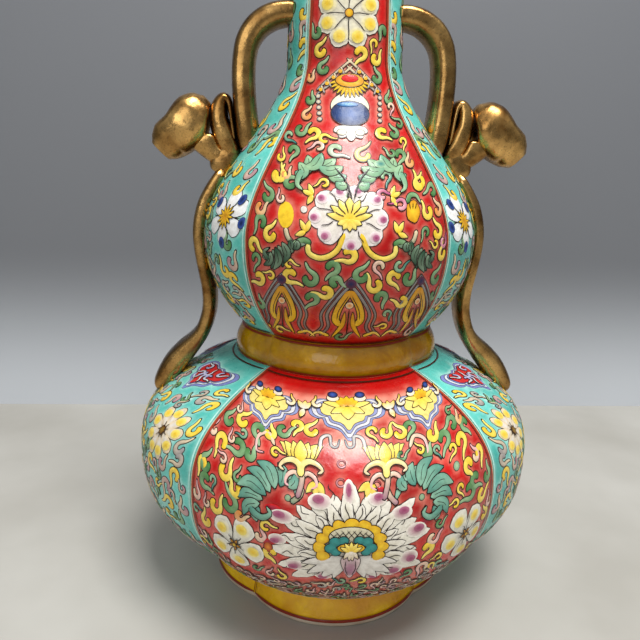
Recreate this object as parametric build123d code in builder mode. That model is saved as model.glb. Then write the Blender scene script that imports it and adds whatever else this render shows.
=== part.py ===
from build123d import *
import os
from math import radians, sqrt, tan

# Double gourd vase with four-lobed bulbs and tied ribbon handles, in millimetres.
# The origin is the middle of the foot, on the table. +Z is up, and the handles lie on the X axis.
# Every radius is measured at a lobe's crown. The lobes meet in creases on the diagonals.

# Foot ring
foot_radius = 66.1
foot_top_radius = 61.6
foot_height = 17.0
foot_wall = 9.0
foot_edge_height = 2.2
foot_edge_inset = 1.6

# Lower bulb
lower_bulb_radius = 105.0
lower_bowl_height = 59.0
lower_shoulder_height = 51.1
floor_thickness = 6.0
bulb_wall = 5.0
lower_bowl_swell_share = 2.5
lower_shoulder_swell_share = 2.85

# Waist band
waist_height = 15.6
waist_radius = 52.7
waist_top_radius = 49.4
waist_swell = 2.6
waist_bore_radius = 43.6

# Upper bulb and neck
upper_bulb_radius = 69.8
upper_bowl_height = 47.3
upper_shoulder_height = 60.0
upper_bowl_swell_share = 2.2
neck_wall = 4.4
collar_radius = 28.0
collar_rise = 85.0
throat_radius = 26.8
throat_rise = 122.0
neck_height = 88.0

# Mouth
mouth_height = 12.0
mouth_radius = 38.0
mouth_flare_share = 2.0
lip_round = 1.8
lip_height = 3.6

# Lobes: how far in the creases lie, as a share of the crown's radius
foot_crease_share = 0.908
body_crease_share = 0.942

# Handle arch
strap_depth = 20.0
arch_thickness = 11.6
arch_reach = 49.8
arch_rise = 63.5
arch_landing_rise = 39.0

# Bow: knot, upright loop, stem and bud
knot_rise = 34.5
knot_stand = 2.6
knot_radius = 7.2
knot_length = 12.6
loop_rise = 30.5
loop_thickness = 5.4
loop_leaf_thickness = 10.0
loop_depth = 17.0
loop_gap = 2.4
stem_thickness = 10.5
stem_depth = 15.0
bud_reach = 23.0
bud_rise = 17.0
bud_length = 36.5
bud_width = 25.4
bud_hollow_radius = 9.0

# Ribbon tail
tail_thickness = 7.6
tail_tip_thickness = 12.6
tail_hang_drop = 10.0
tail_landing_drop = 22.0

# Heights of the seams, from the table up
lower_widest = foot_height + lower_bowl_height
waist_bottom = lower_widest + lower_shoulder_height
waist_top = waist_bottom + waist_height
upper_widest = waist_top + upper_bowl_height
neck_bottom = upper_widest + upper_shoulder_height
mouth_bottom = neck_bottom + neck_height
vase_height = mouth_bottom + mouth_height
collar_height = upper_widest + collar_rise
throat_height = upper_widest + throat_rise

# Shares of a stretch at which its lofts have a section
foot_edge_shares = (0.0, 1.0)
foot_shares = (1.0,)
swell_shares = (1.0, 0.92, 0.8, 0.62, 0.36, 0.0)
hollow_shares = (1.0, 0.85, 0.55, 0.0)
rising_swell_shares = tuple(reversed(swell_shares))
rising_hollow_shares = tuple(reversed(hollow_shares))
shoulder_shares = (0.0, 0.14, 0.3, 0.66, 0.84, 1.0)
shoulder_hollow_shares = (0.0, 0.25, 0.75, 1.0)
neck_shares = (0.0, 0.14, 0.3, 0.72, 0.88, 1.0)
neck_hollow_shares = (0.0, 0.25, 0.75, 1.0)
even_shares = (0.0, 0.5, 1.0)
lip_shares = (0.6, 1.0)


def swelling(widest, end, share, power):
    """Radius at a share of the way from a bulb's widest ring to its end, full at first and then turning in."""
    return end + (widest - end) * (1 - share**power)


def smooth(share):
    """Rise from 0 to 1 that starts and ends level."""
    held = min(max(share, 0.0), 1.0)
    return held * held * (3 - 2 * held)


def foot_profile(height):
    """Crown radius of the foot: a rounded lower edge, then a straight taper to the bowl."""
    taper = foot_radius + (foot_top_radius - foot_radius) * height / foot_height
    edge = max(1 - height / foot_edge_height, 0.0)
    return taper - foot_edge_inset * edge * edge


def lower_bowl_profile(height):
    """Crown radius of the lower bulb below its widest ring."""
    share = (lower_widest - height) / lower_bowl_height
    return swelling(lower_bulb_radius, foot_top_radius, share, lower_bowl_swell_share)


def lower_shoulder_profile(height):
    """Crown radius of the lower bulb above its widest ring."""
    share = (height - lower_widest) / lower_shoulder_height
    return swelling(lower_bulb_radius, waist_radius, share, lower_shoulder_swell_share)


def waist_profile(height):
    """Crown radius of the waist band: a taper with a soft swell."""
    share = (height - waist_bottom) / waist_height
    return waist_radius + (waist_top_radius - waist_radius) * share + waist_swell * 4 * share * (1 - share)


def upper_bowl_profile(height):
    """Crown radius of the upper bulb below its widest ring."""
    share = (upper_widest - height) / upper_bowl_height
    return swelling(upper_bulb_radius, waist_top_radius, share, upper_bowl_swell_share)


def neck_profile(height):
    """Crown radius from the upper bulb's widest ring to the mouth: shoulder, collar, throat and flare."""
    if height <= collar_height:
        turned = smooth((height - upper_widest) / collar_rise)
        return upper_bulb_radius + (collar_radius - upper_bulb_radius) * turned
    if height <= throat_height:
        drawn = smooth((height - collar_height) / (throat_height - collar_height))
        return collar_radius + (throat_radius - collar_radius) * drawn
    flared = ((height - throat_height) / (vase_height - throat_height)) ** mouth_flare_share
    return throat_radius + (mouth_radius - throat_radius) * flared


def lip_profile(height):
    """Crown radius of the mouth, with its lip rounded in at the top."""
    rounding = max(1 - (vase_height - height) / lip_height, 0.0)
    return neck_profile(height) - lip_round * rounding * rounding


def body_profile(height):
    """Crown radius of the whole vase at a height."""
    if height < foot_height:
        return foot_profile(height)
    if height < lower_widest:
        return lower_bowl_profile(height)
    if height < waist_bottom:
        return lower_shoulder_profile(height)
    if height < waist_top:
        return waist_profile(height)
    if height < upper_widest:
        return upper_bowl_profile(height)
    return neck_profile(height)


def lower_bowl_hollow(height):
    """Crown radius of the lower bulb's hollow, from the floor to the widest ring."""
    share = (lower_widest - height) / (lower_bowl_height - floor_thickness)
    return swelling(lower_bulb_radius - bulb_wall, foot_top_radius - bulb_wall, share, lower_bowl_swell_share)


def lower_shoulder_hollow(height):
    """Crown radius of the lower bulb's hollow, from the widest ring to the waist's bore."""
    share = (height - lower_widest) / (lower_shoulder_height - bulb_wall)
    return swelling(lower_bulb_radius - bulb_wall, waist_bore_radius, share, lower_shoulder_swell_share)


def upper_bowl_hollow(height):
    """Crown radius of the upper bulb's hollow, from the waist's bore to the widest ring."""
    share = (upper_widest - height) / (upper_bowl_height - bulb_wall)
    return swelling(upper_bulb_radius - bulb_wall, waist_bore_radius, share, upper_bowl_swell_share)


def neck_hollow(height):
    """Crown radius of the hollow above the upper bulb's widest ring, whose wall thins towards the neck."""
    wall = bulb_wall + (neck_wall - bulb_wall) * smooth((height - upper_widest) / collar_rise)
    return neck_profile(height) - wall


def lip_hollow(height):
    """Crown radius of the mouth's bore, which opens with the lip's rounding."""
    rounding = max(1 - (vase_height - height) / lip_height, 0.0)
    return neck_hollow(height) + lip_round / 2 * rounding * rounding


def waist_bore(height):
    """Crown radius of the straight bore that joins the two bulbs."""
    return waist_bore_radius


def foot_hollow(height):
    """Crown radius of the hollow inside the foot ring."""
    return foot_profile(height) - foot_wall


def crease_share_at(height):
    """How far in the creases lie: deepest at the table, steady above the lower bulb's widest ring."""
    return foot_crease_share + (body_crease_share - foot_crease_share) * min(height / lower_widest, 1.0)


def spaced(start, end, shares):
    """Heights at the given shares of the way from start to end."""
    return [start + (end - start) * share for share in shares]


def lobed_section(height, radius):
    """Level section of four arcs, each through its lobe's crown, that meet in creases on the diagonals."""
    crease = radius * crease_share_at(height) * sqrt(1 / 2)
    with BuildSketch(Plane.XY.offset(height)) as section:
        with BuildLine():
            ThreePointArc((crease, -crease), (radius, 0), (crease, crease))
            ThreePointArc((crease, crease), (0, radius), (-crease, crease))
            ThreePointArc((-crease, crease), (-radius, 0), (-crease, -crease))
            ThreePointArc((-crease, -crease), (0, -radius), (crease, -crease))
        make_face()
    return section.sketch


def lobed_sections(heights, profile):
    """Lobed sections at the heights, with the radii that the profile gives."""
    return [lobed_section(height, profile(height)) for height in heights]


foot_edge_heights = spaced(0, foot_edge_height, foot_edge_shares)
foot_heights = foot_edge_heights + spaced(foot_edge_height, foot_height, foot_shares)
lower_bowl_heights = spaced(lower_widest, foot_height, swell_shares)
lower_shoulder_heights = spaced(lower_widest, waist_bottom, rising_swell_shares)
waist_heights = spaced(waist_bottom, waist_top, even_shares)
upper_bowl_heights = spaced(upper_widest, waist_top, swell_shares)
upper_shoulder_heights = spaced(upper_widest, neck_bottom, shoulder_shares)
neck_heights = spaced(neck_bottom, mouth_bottom, neck_shares)
mouth_heights = spaced(mouth_bottom, vase_height - lip_height, even_shares)
lip_heights = spaced(vase_height - lip_height, vase_height, lip_shares)

outer_forms = (
    (foot_heights, foot_profile),
    (lower_bowl_heights, lower_bowl_profile),
    (lower_shoulder_heights, lower_shoulder_profile),
    (waist_heights, waist_profile),
    (upper_bowl_heights, upper_bowl_profile),
    (upper_shoulder_heights, neck_profile),
    (neck_heights, neck_profile),
)

# Body, from the table up

with BuildPart() as foot_ring:
    loft(lobed_sections(foot_heights, foot_profile), ruled=True)
    loft(lobed_sections((0, foot_height), foot_hollow), ruled=True, mode=Mode.SUBTRACT)

with BuildPart() as lower_bulb_bowl:
    floor_top = foot_height + floor_thickness
    loft(lobed_sections(lower_bowl_heights, lower_bowl_profile), ruled=True)
    loft(
        lobed_sections(spaced(lower_widest, floor_top, hollow_shares), lower_bowl_hollow),
        ruled=True,
        mode=Mode.SUBTRACT,
    )

with BuildPart() as lower_bulb_shoulder:
    hollow_top = waist_bottom - bulb_wall
    loft(lobed_sections(lower_shoulder_heights, lower_shoulder_profile), ruled=True)
    loft(
        lobed_sections(spaced(lower_widest, hollow_top, rising_hollow_shares), lower_shoulder_hollow),
        ruled=True,
        mode=Mode.SUBTRACT,
    )
    loft(lobed_sections((hollow_top, waist_bottom), waist_bore), ruled=True, mode=Mode.SUBTRACT)

with BuildPart() as waist_band:
    loft(lobed_sections(waist_heights, waist_profile), ruled=True)
    loft(lobed_sections((waist_bottom, waist_top), waist_bore), ruled=True, mode=Mode.SUBTRACT)

with BuildPart() as upper_bulb_bowl:
    hollow_bottom = waist_top + bulb_wall
    loft(lobed_sections(upper_bowl_heights, upper_bowl_profile), ruled=True)
    loft(
        lobed_sections(spaced(upper_widest, hollow_bottom, hollow_shares), upper_bowl_hollow),
        ruled=True,
        mode=Mode.SUBTRACT,
    )
    loft(lobed_sections((waist_top, hollow_bottom), waist_bore), ruled=True, mode=Mode.SUBTRACT)

with BuildPart() as upper_bulb_shoulder:
    loft(lobed_sections(upper_shoulder_heights, neck_profile), ruled=True)
    loft(
        lobed_sections(spaced(upper_widest, neck_bottom, shoulder_hollow_shares), neck_hollow),
        ruled=True,
        mode=Mode.SUBTRACT,
    )

with BuildPart() as neck:
    loft(lobed_sections(neck_heights, neck_profile), ruled=True)
    loft(
        lobed_sections(spaced(neck_bottom, mouth_bottom, neck_hollow_shares), neck_hollow),
        ruled=True,
        mode=Mode.SUBTRACT,
    )

with BuildPart() as mouth_rim:
    lip_bottom = vase_height - lip_height
    loft(lobed_sections(mouth_heights + lip_heights, lip_profile), ruled=True)
    loft(lobed_sections((mouth_bottom, lip_bottom, vase_height), lip_hollow), ruled=True, mode=Mode.SUBTRACT)

# The body's outer form as one closed solid, which cuts the handles where they are luted on
with BuildPart() as body_form:
    for heights, profile in outer_forms:
        loft(lobed_sections(heights, profile), ruled=True)

# Section of a strap: a flat inner face, square sides up to this share of its thickness, and a round crown
side_share = 0.36

# A bend's radius is this share of its shorter run, over the tangent of half its turn
bend_share = 0.45


def strap_section(place, heading, thickness, depth):
    """D-shaped section square to its route, with the flat face towards the vase."""
    inner = -thickness / 2
    side = inner + thickness * side_share
    with BuildSketch(Plane(origin=place, x_dir=(0, 1, 0), z_dir=heading)) as section:
        with BuildLine():
            Line((-depth / 2, inner), (depth / 2, inner))
            Line((depth / 2, inner), (depth / 2, side))
            ThreePointArc((depth / 2, side), (0, thickness / 2), (-depth / 2, side))
            Line((-depth / 2, side), (-depth / 2, inner))
        make_face()
    return section.sketch


def oval_section(place, heading, width, depth):
    """Oval section square to its heading, wide in the handle's plane and deep across it."""
    with BuildSketch(Plane(origin=place, x_dir=(0, 1, 0), z_dir=heading)) as section:
        Ellipse(depth / 2, width / 2)
    return section.sketch


def bent_route(points):
    """Straight runs in the handle's plane, joined by arcs as large as the shorter run of each bend allows."""
    corners = [Vector(out, height) for out, height in points]
    radii = []
    for before, corner, after in zip(corners, corners[1:], corners[2:]):
        turn = (corner - before).get_angle(after - corner)
        shorter = min((corner - before).length, (after - corner).length)
        radii.append(bend_share * shorter / tan(radians(turn / 2)))
    with BuildLine(Plane.XZ) as route:
        FilletPolyline(*points, radius=radii)
    return route.wire()


def along(start, end, share):
    """Value at a share of the way from start to end."""
    return start + (end - start) * share


# Places of the right handle, in the XZ plane
arch_landing = upper_widest + arch_landing_rise
arch_top = arch_landing + arch_rise
neck_seat = neck_profile(arch_top) - neck_wall
landing_seat = neck_profile(arch_landing) - bulb_wall
knot_height = upper_widest + knot_rise
knot_out = neck_profile(knot_height) + knot_stand
bud_out = knot_out + bud_reach
bud_height = knot_height + bud_rise

# Arch: rows of the share of the way out from its seat to its reach, and the share of its rise
arch_upper_shares = ((0.0, 1.0), (0.46, 1.0), (0.84, 0.9), (1.0, 0.72))
arch_lower_shares = ((0.94, 0.41), (0.0, 0.0))
arch_points = [
    (along(neck_seat, arch_reach, out), along(arch_landing, arch_top, rise)) for out, rise in arch_upper_shares
] + [
    (along(landing_seat, arch_reach, out), along(arch_landing, arch_top, rise)) for out, rise in arch_lower_shares
]
arch_route = bent_route(arch_points)

with BuildPart() as right_handle_arch:
    sweep(strap_section(arch_route @ 0, arch_route % 0, arch_thickness, strap_depth), arch_route)
    add(body_form.part, mode=Mode.SUBTRACT)

# Upright loop: a ribbon that rises from the knot, folds over and comes down into the arch
loop_line = arch_reach + arch_thickness / 2 + loop_gap + loop_thickness / 2
loop_over = loop_line - loop_gap - loop_thickness
loop_foot_share = 0.2
loop_knee_share = 0.6
loop_tuck_share = 0.72
loop_foot = knot_height + loop_rise * loop_foot_share
loop_top = knot_height + loop_rise - loop_thickness / 2
loop_points = (
    (knot_out, loop_foot),
    (loop_line, knot_height + loop_rise * loop_knee_share),
    (loop_line, loop_top),
    (loop_over, loop_top),
    (loop_over, knot_height + loop_rise * loop_tuck_share),
)
loop_route = bent_route(loop_points)
# Rows of the share of the way along the loop, and how much of the leaf's extra thickness it has there
loop_leaf_shares = ((0.0, 0.75), (0.22, 1.0), (0.45, 0.6), (0.64, 0.1), (0.8, 0.0), (1.0, 0.0))

with BuildPart() as right_upright_loop:
    loop_sections = []
    for share, swell in loop_leaf_shares:
        thickness = along(loop_thickness, loop_leaf_thickness, swell)
        loop_sections.append(strap_section(loop_route @ share, loop_route % share, thickness, loop_depth))
    loft(loop_sections)
    add(body_form.part, mode=Mode.SUBTRACT)
    add(right_handle_arch.part, mode=Mode.SUBTRACT)

# Bud: the bow's big loop, drawn into an egg with a flat end and a hollow that faces the arch
# Rows of the share of its length from the middle, and the share of its half width
bud_nose_shares = ((-0.5, 0.0), (-0.42, 0.62), (-0.24, 0.92))
bud_belly_shares = ((-0.24, 0.92), (0.02, 1.0), (0.28, 0.86))
bud_end_shares = ((0.28, 0.86), (0.42, 0.68), (0.5, 0.42))
bud_plane = Plane(origin=(bud_out, 0, bud_height), x_dir=(1, 0, -1), z_dir=(0, -1, 0))


def bud_arc(shares):
    """Three places of an arc of the bud's outline, from rows of shares."""
    return [(bud_length * length_share, bud_width / 2 * width_share) for length_share, width_share in shares]


with BuildPart() as right_bow_bud:
    with BuildSketch(bud_plane) as bud_half:
        with BuildLine():
            ThreePointArc(*bud_arc(bud_nose_shares))
            ThreePointArc(*bud_arc(bud_belly_shares))
            ThreePointArc(*bud_arc(bud_end_shares))
            Line(bud_arc(bud_end_shares)[-1], (bud_length / 2, 0))
            Line((bud_length / 2, 0), (-bud_length / 2, 0))
        make_face()
    revolve(axis=Axis(bud_plane.origin, bud_plane.x_dir))
    with Locations((bud_out - bud_length / 2, 0, bud_height)):
        Sphere(bud_hollow_radius, mode=Mode.SUBTRACT)

# Stem: the short neck of ribbon between the knot and the bud
# Rows of the shares of the bud's reach and rise, and of the stem's own thickness
stem_shares = ((0.15, 0.1, 0.9), (0.8, 0.65, 1.05))
stem_heading = Vector(bud_reach, 0, bud_rise)

with BuildPart() as right_bow_stem:
    stem_sections = []
    for out, rise, size in stem_shares:
        place = (knot_out + bud_reach * out, 0, knot_height + bud_rise * rise)
        stem_sections.append(oval_section(place, stem_heading, stem_thickness * size, stem_depth * size))
    loft(stem_sections, ruled=True)
    add(right_upright_loop.part, mode=Mode.SUBTRACT)
    add(right_bow_bud.part, mode=Mode.SUBTRACT)

# Tail: a ribbon that lies on the upper bulb, hangs free past the waist and lands on the lower bulb
# Lying: rows of the share of the way up to the knot, and how far it stands out, in its own thickness
tail_lie_shares = ((0.9, 0.05), (0.6, 0.26), (0.3, 0.16), (0.0, 0.24))
# Free: rows of the share of the way down to the landing, and the share of the way out to it
tail_drop_shares = ((0.19, -0.03), (0.39, -0.07), (0.52, 0.03), (0.62, 0.2))
tail_tip_shares = ((0.62, 0.2), (0.7, 0.336), (0.84, 0.78), (0.96, 0.98), (1.1, 0.9))
tail_tip_sizes_shares = ((0.0, 0.0), (0.3, 0.8), (0.66, 1.0), (1.0, 0.6))
tail_hang = upper_widest - tail_hang_drop
tail_landing = waist_bottom - tail_landing_drop
tail_hang_out = upper_bowl_profile(tail_hang)
tail_landing_out = lower_shoulder_profile(tail_landing)
tail_points = []
for rise, stand in tail_lie_shares:
    lie_height = along(tail_hang, knot_height, rise)
    tail_points.append((body_profile(lie_height) + tail_thickness * stand, lie_height))
tail_points += [
    (along(tail_hang_out, tail_landing_out, out), along(tail_hang, tail_landing, down))
    for down, out in tail_drop_shares
]
tail_tip_points = [
    (along(tail_hang_out, tail_landing_out, out), along(tail_hang, tail_landing, down)) for down, out in tail_tip_shares
]
tail_route = bent_route(tail_points)
tail_tip_route = bent_route(tail_tip_points)

with BuildPart() as right_ribbon_tail:
    sweep(strap_section(tail_route @ 0, tail_route % 0, tail_thickness, strap_depth), tail_route)
    tip_sections = []
    for share, swell in tail_tip_sizes_shares:
        thickness = along(tail_thickness, tail_tip_thickness, swell)
        tip_sections.append(strap_section(tail_tip_route @ share, tail_tip_route % share, thickness, strap_depth))
    loft(tip_sections)
    add(body_form.part, mode=Mode.SUBTRACT)

# Knot: a turn of ribbon round the place where the bow's loops and tail meet, along the bulb's slope
knot_groove_share = 0.72
knot_lean = neck_profile(knot_height + knot_radius) - neck_profile(knot_height - knot_radius)
knot_plane = Plane(origin=(knot_out, 0, knot_height), x_dir=(knot_lean, 0, 2 * knot_radius), z_dir=(0, -1, 0))
knot_half_length = knot_length / 2
knot_end_radius = knot_radius * knot_groove_share

with BuildPart() as right_knot_wrap:
    with BuildSketch(knot_plane) as knot_half:
        with BuildLine():
            Line((-knot_half_length, 0), (-knot_half_length, knot_end_radius))
            ThreePointArc((-knot_half_length, knot_end_radius), (0, knot_radius), (knot_half_length, knot_end_radius))
            Line((knot_half_length, knot_end_radius), (knot_half_length, 0))
            Line((knot_half_length, 0), (-knot_half_length, 0))
        make_face()
    revolve(axis=Axis(knot_plane.origin, knot_plane.x_dir))
    add(body_form.part, mode=Mode.SUBTRACT)
    for neighbour in (right_handle_arch, right_upright_loop, right_bow_stem, right_ribbon_tail):
        add(neighbour.part, mode=Mode.SUBTRACT)

pieces = {
    "foot_ring": foot_ring,
    "lower_bulb_bowl": lower_bulb_bowl,
    "lower_bulb_shoulder": lower_bulb_shoulder,
    "waist_band": waist_band,
    "upper_bulb_bowl": upper_bulb_bowl,
    "upper_bulb_shoulder": upper_bulb_shoulder,
    "neck": neck,
    "mouth_rim": mouth_rim,
}
handle_pieces = {
    "handle_arch": right_handle_arch,
    "upright_loop": right_upright_loop,
    "bow_bud": right_bow_bud,
    "bow_stem": right_bow_stem,
    "ribbon_tail": right_ribbon_tail,
    "knot_wrap": right_knot_wrap,
}

# The left handle mirrors the right one
for name, right_piece in handle_pieces.items():
    with BuildPart() as left_piece:
        mirror(right_piece.part, about=Plane.YZ)
    pieces["right_" + name] = right_piece
    pieces["left_" + name] = left_piece

os.makedirs("parts", exist_ok=True)
for name, piece in pieces.items():
    piece.part.label = name
    export_step(piece.part, f"parts/{name}.step")
    print(name, len(piece.part.solids()), round(piece.part.volume))
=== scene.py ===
"""Double gourd vase: lobed porcelain with enamelled panels and gilt ribbon handles, built round the CAD frame."""

import logging
from collections.abc import Sequence
from dataclasses import dataclass, field
from enum import Enum, IntEnum

import bpy
import numpy as np
from mathutils import Matrix


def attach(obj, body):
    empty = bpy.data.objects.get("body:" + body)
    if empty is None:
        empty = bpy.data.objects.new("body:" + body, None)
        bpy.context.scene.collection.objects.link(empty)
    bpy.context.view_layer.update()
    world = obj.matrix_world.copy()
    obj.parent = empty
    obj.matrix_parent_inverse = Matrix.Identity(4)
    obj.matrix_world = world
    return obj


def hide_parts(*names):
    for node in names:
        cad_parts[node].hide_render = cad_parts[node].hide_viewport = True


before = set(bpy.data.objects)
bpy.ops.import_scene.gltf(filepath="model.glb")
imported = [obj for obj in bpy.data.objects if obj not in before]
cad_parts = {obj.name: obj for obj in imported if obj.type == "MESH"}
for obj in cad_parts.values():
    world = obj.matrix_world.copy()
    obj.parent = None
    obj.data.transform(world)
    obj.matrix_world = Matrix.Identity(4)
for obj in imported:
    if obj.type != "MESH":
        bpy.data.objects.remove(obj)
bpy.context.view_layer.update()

LOG = logging.getLogger("double_gourd_vase")
MM = 0.001
Array = np.ndarray
Colour = tuple[float, float, float]
Place = tuple[float, float, float]
Line = Sequence[tuple[float, float]]
Scroll = tuple[float, float, float, float, int]
Rows = tuple[tuple[float, ...], ...]


def linear(red: int, green: int, blue: int) -> Colour:
    """Scene-linear colour of an sRGB one given in steps of 255."""
    share = np.array([red, green, blue]) / 255
    return tuple(np.where(share <= 0.04045, share / 12.92, ((share + 0.055) / 1.055) ** 2.4).tolist())


class Enamel:
    """Colours on the painter's palette."""

    LINE = linear(34, 16, 12)
    CREAM_LINE = linear(226, 214, 178)
    YELLOW = linear(238, 196, 44)
    DEEP_YELLOW = linear(206, 140, 22)
    PALE_YELLOW = linear(244, 224, 120)
    ORANGE = linear(226, 140, 52)
    CREAM = linear(228, 206, 168)
    WHITE = linear(226, 220, 210)
    PINK = linear(232, 168, 176)
    MAGENTA = linear(170, 52, 112)
    MAUVE = linear(172, 128, 142)
    GREEN = linear(66, 122, 62)
    PALE_GREEN = linear(158, 190, 146)
    DARK_GREEN = linear(22, 66, 44)
    TEAL = linear(40, 122, 116)
    GREY_GREEN = linear(126, 150, 124)
    BLUE = linear(58, 86, 160)
    NAVY = linear(16, 28, 74)
    RED = linear(206, 24, 22)
    BRICK = linear(150, 34, 22)
    AQUA = linear(176, 228, 216)
    GREY = linear(150, 146, 148)
    BROWN = linear(84, 46, 20)


def mixed(start: Colour, end: Colour, share: Array) -> Array:
    """Colours at shares of the way between two, one row for each share."""
    return np.array(start) + (np.array(end) - np.array(start)) * np.asarray(share)[..., None]


def eased(value: Array, low: float, high: float) -> Array:
    """Rise from 0 at low to 1 at high that starts and ends level."""
    share = np.clip((np.asarray(value, float) - low) / (high - low), 0, 1)
    return share * share * (3 - 2 * share)


def smooth_line(points: Sequence[Sequence[float]], count: int, closed: bool = False) -> Array:
    """Smooth line through points, evenly spaced by its length.

    Between two points it is the cubic whose slopes are half the chords of their neighbours.

    Args:
        points: rows whose first two columns are a place; further columns are carried along.
        count: number of rows wanted.
        closed: whether the line returns to its first point.

    Returns:
        The rows of the line.
    """
    rows = np.asarray(points, float)
    if closed:
        rows = np.vstack([rows, rows[:1]])
        held = np.vstack([rows[-2:-1], rows, rows[1:2]])
    else:
        held = np.vstack([2 * rows[0] - rows[1], rows, 2 * rows[-1] - rows[-2]])
    runs = len(rows) - 1
    along = np.linspace(0, runs, 14 * runs + 1)
    run = np.minimum(along.astype(int), runs - 1)
    part = (along - run)[:, None]
    a, b, c, d = held[run], held[run + 1], held[run + 2], held[run + 3]
    line = 0.5 * (2 * b + (c - a) * part + (2 * a - 5 * b + 4 * c - d) * part**2 + (3 * b - a - 3 * c + d) * part**3)
    steps = np.hypot(*np.diff(line[:, :2], axis=0).T)
    length = np.concatenate([[0], np.cumsum(steps)])
    even = np.linspace(0, length[-1], count + 1)[:-1] if closed else np.linspace(0, length[-1], count)
    return np.stack([np.interp(even, length, column) for column in line.T], -1)


def grid_faces(rows: int, columns: int, wrap_rows: bool = False, wrap_columns: bool = False) -> Array:
    """Quads of a grid whose vertices are numbered row by row.

    Args:
        rows: number of rows.
        columns: number of vertices in a row.
        wrap_rows: whether the last row joins the first.
        wrap_columns: whether each row closes on itself.

    Returns:
        Four vertex numbers for each quad.
    """
    index = np.arange(rows * columns).reshape(rows, columns)
    if wrap_columns:
        index = np.hstack([index, index[:, :1]])
    if wrap_rows:
        index = np.vstack([index, index[:1]])
    return np.stack([index[:-1, :-1], index[:-1, 1:], index[1:, 1:], index[1:, :-1]], -1).reshape(-1, 4)


def capped(faces: Array, rows: int, columns: int) -> list[list[int]]:
    """Closes both ends of a tube with fans to pole vertices, which follow the grid's own.

    Args:
        faces: the tube's quads.
        rows: number of rings.
        columns: number of vertices in a ring.

    Returns:
        The quads and the triangles of both fans.
    """
    first, last = np.arange(columns), (rows - 1) * columns + np.arange(columns)
    pole = rows * columns
    start = np.stack([np.roll(first, -1), first, np.full(columns, pole)], -1)
    end = np.stack([last, np.roll(last, -1), np.full(columns, pole + 1)], -1)
    return faces.tolist() + start.tolist() + end.tolist()


def make_piece(
    name: str,
    points: Array,
    faces: list[list[int]],
    materials: Sequence[bpy.types.Material],
    face_material: Array | None = None,
    floats: dict[str, Array] | None = None,
    colours: Array | None = None,
) -> bpy.types.Object:
    """Mesh object at the origin whose vertices hold its place.

    Args:
        name: the piece's name.
        points: vertices in millimetres.
        faces: vertex numbers of each face, which point outwards.
        materials: what it is finished with.
        face_material: number of the material of each face.
        floats: values kept on the vertices, by name.
        colours: colour of each vertex, kept as "enamel".

    Returns:
        The object, linked into the scene.
    """
    mesh = bpy.data.meshes.new(name)
    mesh.from_pydata((points * MM).tolist(), [], faces)
    mesh.polygons.foreach_set("use_smooth", np.ones(len(mesh.polygons), bool))
    for material in materials:
        mesh.materials.append(material)
    if face_material is not None:
        mesh.polygons.foreach_set("material_index", face_material.astype(np.int32))
    for key, values in (floats or {}).items():
        mesh.attributes.new(key, "FLOAT", "POINT").data.foreach_set("value", values.astype(np.float32))
    if colours is not None:
        with_alpha = np.hstack([colours, np.ones((len(colours), 1))]).astype(np.float32)
        mesh.attributes.new("enamel", "FLOAT_COLOR", "POINT").data.foreach_set("color", with_alpha.ravel())
    mesh.update()
    piece = bpy.data.objects.new(name, mesh)
    bpy.context.scene.collection.objects.link(piece)
    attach(piece, "root")
    LOG.info("%s: %d faces", name, len(faces))
    return piece


# Finishes


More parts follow.
